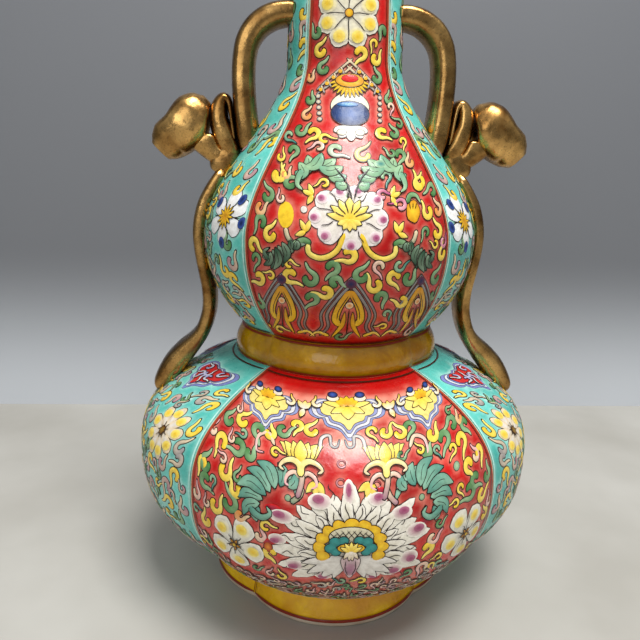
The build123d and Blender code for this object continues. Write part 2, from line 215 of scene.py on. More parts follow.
class Finish:
    """A material under construction: a glossy shader and the nodes that feed it."""

    def __init__(self, name: str, **sockets: float | Colour) -> None:
        """Starts the material.

        Args:
            name: the material's name.
            sockets: constants of the shader's own sockets, with _ for a space.
        """
        self.material = bpy.data.materials.new(name)
        self.material.use_nodes = True
        self.tree = self.material.node_tree
        self.shader = self.tree.nodes["Principled BSDF"]
        for key, value in sockets.items():
            held = (*value, 1.0) if isinstance(value, tuple) else value
            self.shader.inputs[key.replace("_", " ")].default_value = held
        self.place = self.add("ShaderNodeTexCoord").outputs["Object"]

    def add(self, kind: str, settings: dict[str, object] | None = None, **inputs: object) -> bpy.types.Node:
        """Adds a node.

        Args:
            kind: the node's type.
            settings: values of the node's own options.
            inputs: constants or other nodes' outputs, with _ for a space in a socket's name.

        Returns:
            The node.
        """
        node = self.tree.nodes.new(kind)
        for key, value in (settings or {}).items():
            setattr(node, key, value)
        for key, value in inputs.items():
            socket = node.inputs[key.replace("_", " ")]
            if isinstance(value, bpy.types.NodeSocket):
                self.tree.links.new(value, socket)
            else:
                socket.default_value = value
        return node

    def noise(self, scale: float, detail: float = 2.0, distortion: float = 0.0) -> bpy.types.NodeSocket:
        """Noise over the piece's own place, from 0 to 1."""
        node = self.add("ShaderNodeTexNoise", Vector=self.place, Scale=scale, Detail=detail, Distortion=distortion)
        return node.outputs["Fac"]

    def clouds(
        self,
        scale: float,
        detail: float,
        low: float,
        high: float,
        start: float = 0.0,
        end: float = 1.0,
        distortion: float = 0.0,
    ) -> bpy.types.NodeSocket:
        """Noise, with its values from low to high stretched to start to end."""
        return self.ranged(self.noise(scale, detail, distortion), low, high, start, end)

    def roughened(self, scale: float, smooth: float, rough: float, detail: float = 2.0) -> None:
        """Lets the shader's roughness wander between two values."""
        self.feed("Roughness", self.clouds(scale, detail, 0.3, 0.7, smooth, rough))

    def ranged(
        self, value: bpy.types.NodeSocket, low: float, high: float, start: float = 0.0, end: float = 1.0
    ) -> bpy.types.NodeSocket:
        """The value, with low to high stretched to start to end."""
        node = self.add("ShaderNodeMapRange", Value=value, From_Min=low, From_Max=high, To_Min=start, To_Max=end)
        return node.outputs["Result"]

    def blended(self, share: object, start: object, end: object, mode: str = "MIX") -> bpy.types.NodeSocket:
        """Mixes two colours.

        Args:
            share: how much of the end, from 0 to 1.
            start: colour at a share of 0.
            end: colour at a share of 1.
            mode: how the end is laid over the start.

        Returns:
            The mixed colour.
        """
        node = self.add("ShaderNodeMix", {"data_type": "RGBA", "blend_type": mode, "clamp_result": True})
        for socket, value in ((node.inputs[0], share), (node.inputs[6], start), (node.inputs[7], end)):
            if isinstance(value, bpy.types.NodeSocket):
                self.tree.links.new(value, socket)
            else:
                socket.default_value = (*value, 1.0) if isinstance(value, tuple) else value
        return node.outputs[2]

    def attribute(self, name: str, output: str = "Fac") -> bpy.types.NodeSocket:
        """A value or colour kept on the mesh."""
        return self.add("ShaderNodeAttribute", {"attribute_name": name}).outputs[output]

    def feed(self, socket: str, value: bpy.types.NodeSocket) -> None:
        """Links a value to one of the shader's sockets."""
        self.tree.links.new(value, self.shader.inputs[socket])

    def bumped(self, scale: float, detail: float, strength: float, distance: float) -> None:
        """Gives the shader a bump of noise, whose height is a distance in metres."""
        node = self.add("ShaderNodeBump", Height=self.noise(scale, detail), Strength=strength, Distance=distance)
        self.feed("Normal", node.outputs["Normal"])


@dataclass(frozen=True)
class GroundEnamel:
    """Thick enamel laid over a whole panel, pale round its motifs and pooled darker between them."""

    name: str
    body: Colour
    deep: Colour
    halo: Colour

    def make(self) -> bpy.types.Material:
        """Builds the material."""
        finish = Finish(self.name, Coat_Weight=0.26, Coat_Roughness=0.08, IOR=1.34)
        cloud = finish.clouds(34, 3, 0.35, 0.7)
        tone = finish.blended(cloud, self.body, self.deep)
        grain = finish.clouds(900, 2, 0.3, 0.75, 0.0, 0.22)
        tone = finish.blended(grain, tone, self.deep)
        halo = finish.ranged(finish.attribute("halo"), 0.0, 1.0, 0.0, 0.9)
        finish.feed("Base Color", finish.blended(halo, tone, self.halo))
        finish.roughened(260, 0.24, 0.42)
        finish.bumped(190, 3, 0.35, 0.0016)
        return finish.material


@dataclass(frozen=True)
class PaintedEnamel:
    """Raised painter's enamel, whose colours are kept on the mesh."""

    name: str = "painted_enamel"
    pool: Colour = (0.55, 0.5, 0.46)

    def make(self) -> bpy.types.Material:
        """Builds the material."""
        finish = Finish(self.name, Coat_Weight=0.18, Coat_Roughness=0.1, IOR=1.3)
        colour = finish.attribute("enamel", "Color")
        pooled = finish.clouds(420, 3, 0.38, 0.72, 0.0, 0.42)
        finish.feed("Base Color", finish.blended(pooled, colour, self.pool, "MULTIPLY"))
        finish.roughened(300, 0.28, 0.46)
        finish.bumped(600, 2, 0.25, 0.0006)
        return finish.material


@dataclass(frozen=True)
class TransparentGlaze:
    """Coloured glaze that runs thin on the edges and pools darker, over white porcelain."""

    name: str
    thin: Colour
    pooled: Colour
    cloud_scale: float = 46.0

    def make(self) -> bpy.types.Material:
        """Builds the material."""
        finish = Finish(self.name, Coat_Weight=0.35, Coat_Roughness=0.06, IOR=1.4)
        cloud = finish.clouds(self.cloud_scale, 4, 0.34, 0.68, distortion=0.6)
        streak = finish.clouds(260, 2, 0.35, 0.7, 0.0, 0.35)
        tone = finish.blended(cloud, self.thin, self.pooled)
        finish.feed("Base Color", finish.blended(streak, tone, self.pooled))
        finish.roughened(200, 0.14, 0.3)
        finish.bumped(150, 3, 0.4, 0.0016)
        return finish.material


@dataclass(frozen=True)
class WornGilding:
    """Fired gilding, mottled pale and brown at random and darkened by painted shade on the sides that face the vase and
    in hollows, over a slightly lumpy body.
    """

    name: str = "worn_gilding"
    rubbed: Colour = linear(230, 184, 112)
    brown: Colour = linear(122, 80, 34)
    # dull brown, used both for specks and for the painted shade
    dull: Colour = linear(66, 50, 32)

    def make(self) -> bpy.types.Material:
        """Builds the material."""
        finish = Finish(self.name, Metallic=1.0)
        cloud = finish.clouds(60, 4, 0.34, 0.7, distortion=0.4)
        tone = finish.blended(cloud, self.rubbed, self.brown)
        speck = finish.clouds(1100, 2, 0.55, 0.8, 0.0, 0.7)
        tone = finish.blended(speck, tone, self.dull)
        # painted shade: the mesh's mask darkens the gilt towards the vase and in the bud's hollow, on top of a set
        # dulling
        tone = finish.blended(finish.attribute("tarnish_and_shade"), tone, self.dull)
        finish.feed("Base Color", tone)
        finish.roughened(150, 0.2, 0.34, 3)
        finish.bumped(300, 3, 0.16, 0.0012)
        return finish.material


@dataclass(frozen=True)
class PlainCeramic:
    """White glaze or bare fired clay, with faint clouds and pinholes."""

    name: str
    body: Colour
    shade: Colour
    gloss: float

    def make(self) -> bpy.types.Material:
        """Builds the material."""
        finish = Finish(self.name, Coat_Weight=self.gloss, IOR=1.5)
        cloud = finish.clouds(70, 4, 0.35, 0.7)
        finish.feed("Base Color", finish.blended(cloud, self.body, self.shade))
        finish.roughened(240, 0.6 - 0.4 * self.gloss, 0.8 - 0.4 * self.gloss)
        finish.bumped(500, 3, 0.3, 0.0006)
        return finish.material


# Form of the vase


class Lobe(IntEnum):
    """The four lobes, named by where they face."""

    FRONT = 0
    RIGHT = 1
    BACK = 2
    LEFT = 3


def swelled(end: float, widest: float, share: Array, power: float) -> Array:
    """Radii at shares of the way from a widest ring to an end: 1 minus a power of the share is the swelling."""
    return end + (widest - end) * (1 - share**power)


@dataclass(frozen=True)
class VaseForm:
    """Outer and inner form of the body, in millimetres, as the CAD source has it.

    A level section is four arcs that meet in creases on the diagonals. Radii are at a lobe's crown.
    """

    foot_height: float = 17.0
    foot_radius: float = 66.1
    foot_top_radius: float = 61.6
    foot_edge_height: float = 2.2
    foot_edge_inset: float = 1.6
    lower_widest: float = 76.0
    lower_radius: float = 105.0
    lower_bowl_power: float = 2.5
    lower_shoulder_power: float = 2.85
    waist_bottom: float = 127.1
    waist_radius: float = 52.7
    waist_top: float = 142.7
    waist_top_radius: float = 49.4
    waist_swell: float = 2.6
    upper_widest: float = 190.0
    upper_radius: float = 69.8
    upper_bowl_power: float = 2.2
    collar_height: float = 275.0
    collar_radius: float = 28.0
    throat_height: float = 312.0
    throat_radius: float = 26.8
    mouth_bottom: float = 338.0
    height: float = 350.0
    mouth_radius: float = 38.0
    lip_height: float = 3.6
    lip_inset: float = 1.8
    foot_crease: float = 0.908
    body_crease: float = 0.942
    steepest: float = 6.0

    def lip(self, z: Array) -> Array:
        """Share of the lip's rounding at heights z, the square of the way up it."""
        return np.clip(1 - (self.height - z) / self.lip_height, 0, None) ** 2

    def radius(self, z: Array) -> Array:
        """Crown radius at heights z.

        Each bulb is its end radius plus a swelling of 1 minus a power of the share from its widest ring. The neck
        eases from the bulb to the collar and the throat, and flares with the square of the height to the mouth.

        Args:
            z: heights in millimetres.

        Returns:
            The radii in millimetres.
        """
        z = np.asarray(z, float)
        foot = self.foot_radius + (self.foot_top_radius - self.foot_radius) * z / self.foot_height
        foot = foot - self.foot_edge_inset * np.clip(1 - z / self.foot_edge_height, 0, None) ** 2
        low = np.clip((self.lower_widest - z) / (self.lower_widest - self.foot_height), 0, 1)
        bowl = swelled(self.foot_top_radius, self.lower_radius, low, self.lower_bowl_power)
        high = np.clip((z - self.lower_widest) / (self.waist_bottom - self.lower_widest), 0, 1)
        shoulder = swelled(self.waist_radius, self.lower_radius, high, self.lower_shoulder_power)
        band = (z - self.waist_bottom) / (self.waist_top - self.waist_bottom)
        waist = self.waist_radius + (self.waist_top_radius - self.waist_radius) * band
        waist = waist + self.waist_swell * 4 * band * (1 - band)
        drop = np.clip((self.upper_widest - z) / (self.upper_widest - self.waist_top), 0, 1)
        upper = swelled(self.waist_top_radius, self.upper_radius, drop, self.upper_bowl_power)
        narrowing = eased(z, self.upper_widest, self.collar_height)
        neck = self.upper_radius + (self.collar_radius - self.upper_radius) * narrowing
        neck = neck + (self.throat_radius - self.collar_radius) * eased(z, self.collar_height, self.throat_height)
        flare = np.clip((z - self.throat_height) / (self.height - self.throat_height), 0, 1)
        neck = neck + (self.mouth_radius - self.throat_radius) * flare**2
        neck = neck - self.lip_inset * self.lip(z)
        tops = (self.foot_height, self.lower_widest, self.waist_bottom, self.waist_top, self.upper_widest)
        return np.select([z < top for top in tops], [foot, bowl, shoulder, waist, upper], neck)

    def crease(self, z: Array) -> Array:
        """Crease radius at heights z as a share of the crown radius; it grows from the foot to the widest ring."""
        return self.foot_crease + (self.body_crease - self.foot_crease) * np.minimum(z / self.lower_widest, 1)

    def arcs(self, z: Array, radius: Array) -> tuple[Array, Array]:
        """Distances from the axis and radii of the circles through a lobe's crown and both its creases."""
        crease = self.crease(z)
        offset = radius * (1 - crease**2) / (2 - 2 * crease * np.sqrt(0.5))
        return offset, radius - offset

    def half_width(self, z: Array, radius: Array | None = None) -> Array:
        """Distance over a lobe from its crown to its crease: its arc's radius times the angle between them."""
        radius = self.radius(z) if radius is None else radius
        offset, arc = self.arcs(z, radius)
        side = radius * self.crease(z) * np.sqrt(0.5)
        return arc * np.arctan2(side, side - offset)

    def laid(
        self, lobe: Lobe, s: Array, z: Array, radius: Array | None = None, lift: Array | float = 0.0
    ) -> Array:
        """Places on a lobe.

        A place is its arc's centre plus the arc's radius along the angle s over that radius, turned to the lobe,
        and moved by lift along the surface's normal, whose slope comes from the radius just above and below.

        Args:
            lobe: the lobe.
            s: distances from the lobe's crown, positive anticlockwise from above.
            z: heights.
            radius: crown radii, where they aren't the outer form's.
            lift: distances outwards.

        Returns:
            The places, one row for each value.
        """
        z = np.asarray(z, float)
        outer = self.radius(z) if radius is None else radius
        offset, arc = self.arcs(z, outer)
        beta = s / arc
        slope = (self.radius(z + 0.3) - self.radius(z - 0.3)) / 0.6
        tilt = np.where(np.abs(slope) < self.steepest, slope, self.steepest * np.sign(slope))
        norm = np.sqrt(1 + tilt**2)
        out = offset + arc * np.cos(beta) + lift * np.cos(beta) / norm
        side = arc * np.sin(beta) + lift * np.sin(beta) / norm
        angle = (lobe - 1) * np.pi / 2
        x = out * np.cos(angle) - side * np.sin(angle)
        y = out * np.sin(angle) + side * np.cos(angle)
        return np.stack([x, y, z - lift * tilt / norm + 0 * x], -1)


FORM = VaseForm()
RUN_Z = np.linspace(0, FORM.height, 1401)
RUN_T = np.concatenate([[0], np.cumsum(np.hypot(np.diff(FORM.radius(RUN_Z)), np.diff(RUN_Z)))])


def run_of(z: Array | float) -> Array:
    """Length of the crown's outline from the table up to heights z."""
    return np.interp(z, RUN_Z, RUN_T)


def height_of(t: Array) -> Array:
    """Heights at lengths t of the crown's outline."""
    return np.interp(t, RUN_T, RUN_Z)


# Painting

COAT = 0.2
LAYER_STEP = 0.0005
OUTLINE_LIFT = 0.05
ENAMEL_LIFT = 0.1
PATCH_DOME = 0.12
THIN_STROKE = 1.2
CREASE_MARGIN = 0.7
WASH_STEP = 0.08
WASH_SHARE = 0.0064
HALO_PASSES = 3
HALO_GAIN = 1.32
OUTLINE_ACROSS = np.array([-1.0, 0.0, 1.0])
STROKE_ACROSS = np.array([-1.0, -0.6, 0.0, 0.6, 1.0])


class Cut(Enum):
    """How a stroke's width changes from its start, 0, to its end, 1."""

    COMMA = "comma"
    LEAF = "leaf"
    LINE = "line"

    def widths(self, along: Array) -> Array:
        """Shares of the full width.

        A comma is a round head that keeps its width and then thins to a tail, a leaf is a half wave, and a line
        keeps its width between round ends.

        Args:
            along: shares of the way from the start.

        Returns:
            The share of the full width at each.
        """
        if self is Cut.COMMA:
            head = np.sqrt(np.clip(1 - (1 - along / 0.12) ** 2, 0.03, 1))
            body = 1 - 0.72 * np.clip((along - 0.35) / 0.65, 0, 1) ** 1.4
            return np.where(along < 0.12, head, body) * np.sqrt(np.clip((1 - along) / 0.04, 0.05, 1))
        if self is Cut.LEAF:
            return np.maximum(np.sin(np.pi * np.clip(along, 0, 1) ** 0.85), 0.0) ** 0.85 + 0.03
        return np.sqrt(np.clip(np.minimum(along, 1 - along) / 0.06, 0.05, 1))


@dataclass(frozen=True)
class HaloMap:
    """Paleness of a panel's ground, on a grid of one millimetre from its lowest s and t."""

    s_start: float
    t_start: float
    values: Array

    def at(self, s: Array, t: Array) -> Array:
        """Values at places, mixed from the four nearest grid places by their shares of the cell.

        Args:
            s: distances from the crown.
            t: lengths up along the crown.

        Returns:
            The paleness at each place.
        """
        i = np.clip(s - self.s_start, 0, self.values.shape[0] - 1.001)
        j = np.clip(t - self.t_start + 0 * s, 0, self.values.shape[1] - 1.001)
        a, b = i.astype(int), j.astype(int)
        u, v = i - a, j - b
        low = self.values[a, b] * (1 - u) + self.values[a + 1, b] * u
        high = self.values[a, b + 1] * (1 - u) + self.values[a + 1, b + 1] * u
        return low * (1 - v) + high * v


@dataclass
class Panel:
    """One panel's painting, drawn flat: s across from the crown and t up along it, in millimetres."""

    flat: list[Array] = field(default_factory=list)
    lift: list[Array] = field(default_factory=list)
    tint: list[Array] = field(default_factory=list)
    quads: list[Array] = field(default_factory=list)
    fans: list[Array] = field(default_factory=list)
    halo: list[Array] = field(default_factory=list)
    washes: list[Array] = field(default_factory=list)
    count: int = 0
    layer: float = 0.0

    def put(self, flat: Array, lift: Array, tint: Array, quads: Array, fan: Array | None = None) -> None:
        """Adds one shape.

        Args:
            flat: places (s, t) of its vertices.
            lift: height of each over the ground.
            tint: colour of each.
            quads: its quads, whose numbers start at 0.
            fan: triangles of its middle.
        """
        self.flat.append(flat.reshape(-1, 2).copy())
        self.lift.append(np.broadcast_to(lift, flat.shape[:-1]).reshape(-1) + self.layer)
        self.tint.append(np.broadcast_to(tint, (*flat.shape[:-1], 3)).reshape(-1, 3))
        self.quads.append(quads + self.count)
        if fan is not None:
            self.fans.append(fan + self.count)
        self.count += flat.reshape(-1, 2).shape[0]

    def stroke(
        self,
        path: Array,
        width: float,
        tone: "Tone",
        cut: Cut = Cut.COMMA,
        line: float = 0.42,
        coat: float = 0,
        halo: float = 1.0,
    ) -> None:
        """Lays one stroke of enamel over its dark outline.

        Places are the path plus a share of the half width along its normal, and the lift is a dome across it.

        Args:
            path: places (s, t) from its start to its end, already smooth.
            width: full width.
            tone: colours at its start and its end.
            cut: how its width changes.
            line: width of the outline at each side, or 0 for none.
            coat: coats under it.
            halo: strength of the pale ring that it leaves in the ground.
        """
        rows = len(path)
        along = np.linspace(0, 1, rows)
        heading = np.gradient(path, axis=0)
        heading = heading / np.maximum(np.hypot(*heading.T), 1e-9)[:, None]
        normal = np.stack([-heading[:, 1], heading[:, 0]], -1)
        half = width / 2 * cut.widths(along)
        self.layer += LAYER_STEP
        base = COAT * coat
        if line:
            ends = path.copy()
            ends[0] -= heading[0] * line
            ends[-1] += heading[-1] * line
            flat = ends[:, None] + normal[:, None] * ((half + line)[:, None] * OUTLINE_ACROSS)[..., None]
            self.put(flat, base + OUTLINE_LIFT, np.array(Enamel.LINE), grid_faces(rows, 3)[:, ::-1])
        shares = STROKE_ACROSS if width > THIN_STROKE else STROKE_ACROSS[::2]
        flat = path[:, None] + normal[:, None] * (half[:, None] * shares)[..., None]
        tint = np.repeat(mixed(tone.head, tone.tail, along)[:, None], len(shares), 1)
        # painted light: each stroke is lighter along its domed middle and darker towards its edges
        tint = tint * (1 - 0.16 * shares[None, :, None] ** 2)
        dome = min(0.22, 0.11 * width)
        height = base + ENAMEL_LIFT + dome * (1 - shares**2) * np.minimum(1, 2.4 * half[:, None] / width)
        self.put(flat, height, tint, grid_faces(rows, len(shares))[:, ::-1])
        if halo:
            self.halo.append(np.column_stack([path, np.full(rows, halo)]))

    def patch(
        self, outline: Array, centre: Colour, rim: Colour, line: float = 0.4, coat: float = 0, halo: float = 1.0
    ) -> None:
        """Fills a closed outline that its middle can see, in rings that close on one vertex.

        Args:
            outline: places (s, t) anticlockwise, already smooth.
            centre: colour in the middle.
            rim: colour at the edge.
            line: width of the dark outline, or 0 for none.
            coat: coats under it.
            halo: strength of the pale ring that it leaves in the ground.
        """
        around = len(outline)
        middle = outline.mean(0)
        shares = np.array([1.0, 0.8, 0.56, 0.3])
        rings = len(shares)
        self.layer += LAYER_STEP
        base = COAT * coat
        if line:
            step = np.roll(outline, -1, 0) - np.roll(outline, 1, 0)
            out = np.stack([step[:, 1], -step[:, 0]], -1) / np.maximum(np.hypot(*step.T), 1e-9)[:, None]
            flat = np.stack([outline + out * line, outline - out * line])
            self.put(flat, base + OUTLINE_LIFT, np.array(Enamel.LINE), grid_faces(2, around, wrap_columns=True))
        flat = np.vstack([(middle + (outline - middle)[None] * shares[:, None, None]).reshape(-1, 2), middle])
        share = np.append(np.repeat(shares, around), 0.0)
        inner = (rings - 1) * around + np.arange(around)
        fan = np.stack([inner, np.roll(inner, -1), np.full(around, rings * around)], -1)
        quads = grid_faces(rings, around, wrap_columns=True)
        height = base + ENAMEL_LIFT + PATCH_DOME * (1 - share**2)
        self.put(flat, height, mixed(centre, rim, share**1.3), quads, fan)
        if halo:
            self.halo.append(np.column_stack([outline, np.full(around, halo)]))
            self.halo.append(np.column_stack([middle + (outline - middle) * 0.4, np.zeros(around)]))

    def oval(
        self,
        place: Array,
        across: float,
        up: float,
        tone: "Tone",
        line: float = 0.4,
        coat: float = 0,
        count: int = 14,
        scallops: int = 0,
        depth: float = 0.0,
    ) -> None:
        """Patch over an oval, from the colour in its middle to that at its edge; the rest is as for ring and patch."""
        self.patch(ring(place, across, up, count, scallops, depth), tone.head, tone.tail, line, coat)

    def wash(self, s: float, z: float, across: float, up: float, strength: float) -> None:
        """Leaves a pale cloud in the ground, over an oval.

        Args:
            s: distance of its middle from the crown.
            z: height of its middle.
            across: half its width.
            up: half its height.
            strength: how pale it is.
        """
        reach = np.arange(-1, 1.01, WASH_STEP)
        x, y = (v.ravel() for v in np.meshgrid(reach, reach))
        inside = x**2 + y**2 < 1
        places = spot(s, z) + np.stack([x, y], -1)[inside] * np.array([across, up])
        cell = max(across * up * WASH_SHARE, 0.01)
        self.washes.append(np.column_stack([places, np.full(len(places), strength * cell * 0.3)]))

    def resized(self, first: int, first_halo: int, middle: Array, share: float, up: float) -> None:
        """Scales what was drawn since two counts about a place and moves it up.

        Args:
            first: number of shapes drawn before it.
            first_halo: number of halo rows kept before it.
            middle: the place that everything is drawn in to.
            share: new size as a share of the old one.
            up: how far it all moves up.
        """
        for rows in [*self.flat[first:], *(rows[:, :2] for rows in self.halo[first_halo:])]:
            rows[:] = middle + (rows - middle) * share + (0, up)

    def laid_on(self, name: str, lobe: Lobe, material: bpy.types.Material) -> None:
        """Makes the painting a piece on one lobe; on the left lobe its left and right change places.

        Args:
            name: the piece's name.
            lobe: the lobe.
            material: the enamel.
        """
        flat = np.vstack(self.flat)
        z = height_of(flat[:, 1])
        room = FORM.half_width(z) - CREASE_MARGIN
        hand = -1 if lobe == Lobe.LEFT else 1
        s = np.clip(flat[:, 0], -room, room) * hand
        faces = np.vstack(self.quads)[:, ::hand].tolist() + np.vstack(self.fans)[:, ::hand].tolist()
        points = FORM.laid(lobe, s, z, lift=np.concatenate(self.lift))
        make_piece(name, points, faces, [material], colours=np.vstack(self.tint))

    def halo_map(self) -> HaloMap:
        """Pale ground round the motifs.

        Each place adds its strength to its cell, and the sums are blurred by passes of a short weighted mean.

        Returns:
            The map.
        """
        rows = np.vstack(self.halo + self.washes)
        s_edges, t_edges = np.arange(-90.5, 91), np.arange(-0.5, RUN_T[-1] + 1)
        grid, _, _ = np.histogram2d(rows[:, 0], rows[:, 1], bins=(s_edges, t_edges), weights=rows[:, 2])
        grid = np.clip(grid, 0, 1.5)
        for _ in range(HALO_PASSES):
            grid = 0.34 * grid + 0.165 * sum(np.roll(grid, step, axis) for step in (-1, 1) for axis in (0, 1))
        return HaloMap(s_edges[0] + 0.5, t_edges[0] + 0.5, np.clip(grid * HALO_GAIN, 0, 1))


def spot(s: float, z: float) -> Array:
    """Flat place (s, t) of a place given by its height."""
    return np.array([s, float(run_of(z))])


def spots(rows: Line) -> Array:
    """Flat places of several places given by their heights."""
    table = np.asarray(rows, float)
    return np.column_stack([table[:, 0], run_of(table[:, 1])])


def sided(hand: int, rows: Line, s: float = 0.0) -> list[tuple[float, float]]:
    """Places on one side of a line at s, from rows of the distance outwards from it and the height."""
    return [(s + hand * out, z) for out, z in rows]


def ring(middle: Array, across: float, up: float, count: int = 20, scallops: int = 0, depth: float = 0.0) -> Array:
    """Oval outline, whose radius is changed by a cosine.

    Args:
        middle: its middle.
        across: half its width.
        up: half its height.
        count: number of places on it.
        scallops: number of waves round it.
        depth: height of the waves, as a share of the radius.

    Returns:
        The places, anticlockwise.
    """
    angle = np.linspace(0, 2 * np.pi, count, endpoint=False)
    swell = 1 + depth * np.cos(scallops * angle)
    return middle + np.stack([across * np.cos(angle), up * np.sin(angle)], -1) * swell[:, None]


@dataclass(frozen=True)
class Tone:
    """Two colours of one stroke, from its head to its tail, or of one petal, from its middle to its edge."""

    head: Colour
    tail: Colour

    def turned(self) -> "Tone":
        """The same colours from tail to head."""
        return Tone(self.tail, self.head)


YELLOWS = Tone(Enamel.YELLOW, Enamel.PALE_YELLOW)
GOLDS = Tone(Enamel.DEEP_YELLOW, Enamel.YELLOW)
GREENS = Tone(Enamel.GREEN, Enamel.PALE_GREEN)
LEAF_GREENS = Tone(Enamel.PALE_GREEN, Enamel.TEAL)
WING_GREENS = Tone(linear(140, 182, 156), linear(82, 140, 124))
DARK_GREENS = Tone(Enamel.GREY_GREEN, Enamel.DARK_GREEN)
CREAMS = Tone(Enamel.CREAM, Enamel.PINK)
ORANGES = Tone(Enamel.ORANGE, Enamel.CREAM)
MAUVES = Tone(Enamel.MAUVE, Enamel.CREAM)
GREYS = Tone(Enamel.GREY, Enamel.CREAM)
SNOWS = Tone(Enamel.WHITE, Enamel.WHITE)
INKS = Tone(Enamel.LINE, Enamel.LINE)
DAISIES = Tone(Enamel.WHITE, Enamel.YELLOW)
STEMS = Tone(Enamel.CREAM, Enamel.GREY_GREEN)
CORDS = GREYS.turned()
PANEL_SPANS = ((18.5, 126.6), (143.2, 337.5))
LAPPET = (
    (-1, 0.3), (-1, -0.06), (-0.8, -0.2), (-0.66, -0.2), (-0.58, -0.42), (-0.36, -0.5), (-0.2, -0.6), (0, -0.88),
    (0.2, -0.6), (0.36, -0.5), (0.58, -0.42), (0.66, -0.2), (0.8, -0.2), (1, -0.06), (1, 0.3), (0.66, 0.5),
    (0.2, 0.4), (0, 0.46), (-0.2, 0.4), (-0.66, 0.5),
)


def toward(turn: float) -> Array:
    """Direction at an angle in degrees."""
    return np.array([np.cos(np.radians(turn)), np.sin(np.radians(turn))])


def curl(
    panel: Panel,
    middle: Array,
    size: float,
    turn: float,
    hand: int,
    tone: Tone,
    width: float = 2.4,
    wound: float = 290.0,
    coat: float = 0,
) -> None:
    """Comma scroll: a hook that unwinds from its round head into an S-curved tail.

    The heading turns by the wound angle, fastest at the head, and then bends back a little, and the path is the
    running sum of the headings.

    Args:
        panel: its panel.
        middle: the scroll's middle.
        size: about half its length.
        turn: direction that its tail ends in, in degrees.
        hand: 1 or -1, the way it winds.
        tone: its colours.
        width: width at the head.
        wound: degrees that the hook turns through.
        coat: coats under it.
    """
    along = np.linspace(0, 1, 26)
    bend_back = 46
    turning = np.clip(1 - along / 0.72, 0, 1) ** 1.15 * wound + eased(along, 0.62, 1.0) * bend_back
    heading = np.radians(turn - hand * (turning - bend_back))
    steps = np.stack([np.cos(heading), np.sin(heading)], -1) * (4.9 * size / 26)
    path = np.cumsum(steps, 0)
    path = path - (path.min(0) + path.max(0)) / 2 + middle
    panel.stroke(path, width, tone, coat=coat)


def tendril(
    panel: Panel, rows: Line, width: float, tone: Tone, cut: Cut = Cut.COMMA, line: float = 0.42, coat: float = 0
) -> None:
    """Stroke through places (s, height); the rest is as for Panel.stroke."""
    panel.stroke(smooth_line(spots(rows), 4 + 5 * len(rows)), width, tone, cut, line, coat)


def leaf(
    panel: Panel, root: Array, turn: float, length: float, width: float, tone: Tone, bend: float = 0.0, coat: float = 0
) -> None:
    """Pointed leaf or petal, a straight line plus a sideways shift by the square of a quarter wave.

    Args:
        panel: its panel.
        root: its start.
        turn: its direction, in degrees.
        length: its length.
        width: its width.
        tone: colours of its root and its tip.
        bend: how far its tip is moved sideways, as a share of its length.
        coat: coats under it.
    """
    along = np.linspace(0, 1, 10)
    heading = toward(turn)
    side = np.array([-heading[1], heading[0]])
    path = root + length * (along[:, None] * heading + bend * np.sin(np.pi * along / 2)[:, None] ** 2 * side)
    panel.stroke(path, width, tone, Cut.LEAF, 0.36, coat)


def round_petal(
    panel: Panel,
    root: Array,
    turn: float,
    length: float,
    width: float,
    tone: Tone,
    ruffle: float = 0.04,
    coat: float = 0,
) -> None:
    """Broad petal, widest near its tip, whose tip is ruffled.

    Round its outline the length is a cosine and the width a blunted sine that narrows to the root, and the tip moves
    by a wave.

    Args:
        panel: its panel.
        root: its narrow end.
        turn: its direction, in degrees.
        length: its length.
        width: its width.
        tone: colours in its middle and at its edge.
        ruffle: height of the tip's waves, as a share of the length.
        coat: coats under it.
    """
    angle = np.linspace(0, 2 * np.pi, 30, endpoint=False)
    share = 0.5 * (1 - np.cos(angle))
    out = share + ruffle * np.cos(6 * angle) * share**4
    side = -0.5 * np.sign(np.sin(angle)) * np.abs(np.sin(angle)) ** 0.66 * (0.2 + 0.84 * share)
    heading = toward(turn)
    across = np.array([-heading[1], heading[0]])
    outline = root + length * out[:, None] * heading + width * side[:, None] * across
    panel.patch(outline, tone.head, tone.tail, 0.34, coat)


def blush(panel: Panel, place: Array, across: float, up: float, centre: Colour, rim: Colour, coat: float = 1) -> None:
    """Soft spot of colour that fades into what it lies on."""
    panel.patch(ring(place, across, up, 16), centre, rim, 0, coat, 0)


def ink(panel: Panel, path: Array, width: float = 0.42, coat: float = 2) -> None:
    """Fine dark line."""
    panel.stroke(path, width, INKS, Cut.LINE, 0, coat, 0)


def vein(panel: Panel, rows: Line, width: float, coat: float, count: int) -> None:
    """Fine dark line through places (s, height)."""
    ink(panel, smooth_line(spots(rows), count), width, coat)


def rays(
    panel: Panel, root: Array, turns: Sequence[float], start: float, end: float, wave: float, coat: float
) -> None:
    """Fine dark lines from a middle outwards, every third of them full length.

    Args:
        panel: their panel.
        root: the middle.
        turns: their directions, in degrees.
        start: distance from the middle where they start.
        end: distance where the longest end.
        wave: how far each sways across its direction.
        coat: coats under them.
    """
    along = np.linspace(0, 1, 9)
    for number, turn in enumerate(turns):
        heading = toward(turn)
        side = np.array([-heading[1], heading[0]])
        reach = start + (end - start) * along * (1 - 0.12 * (number % 3))
        sway = wave * np.sin(along * 6.3 + number)
        ink(panel, root + reach[:, None] * heading + sway[:, None] * side, 0.42, coat)


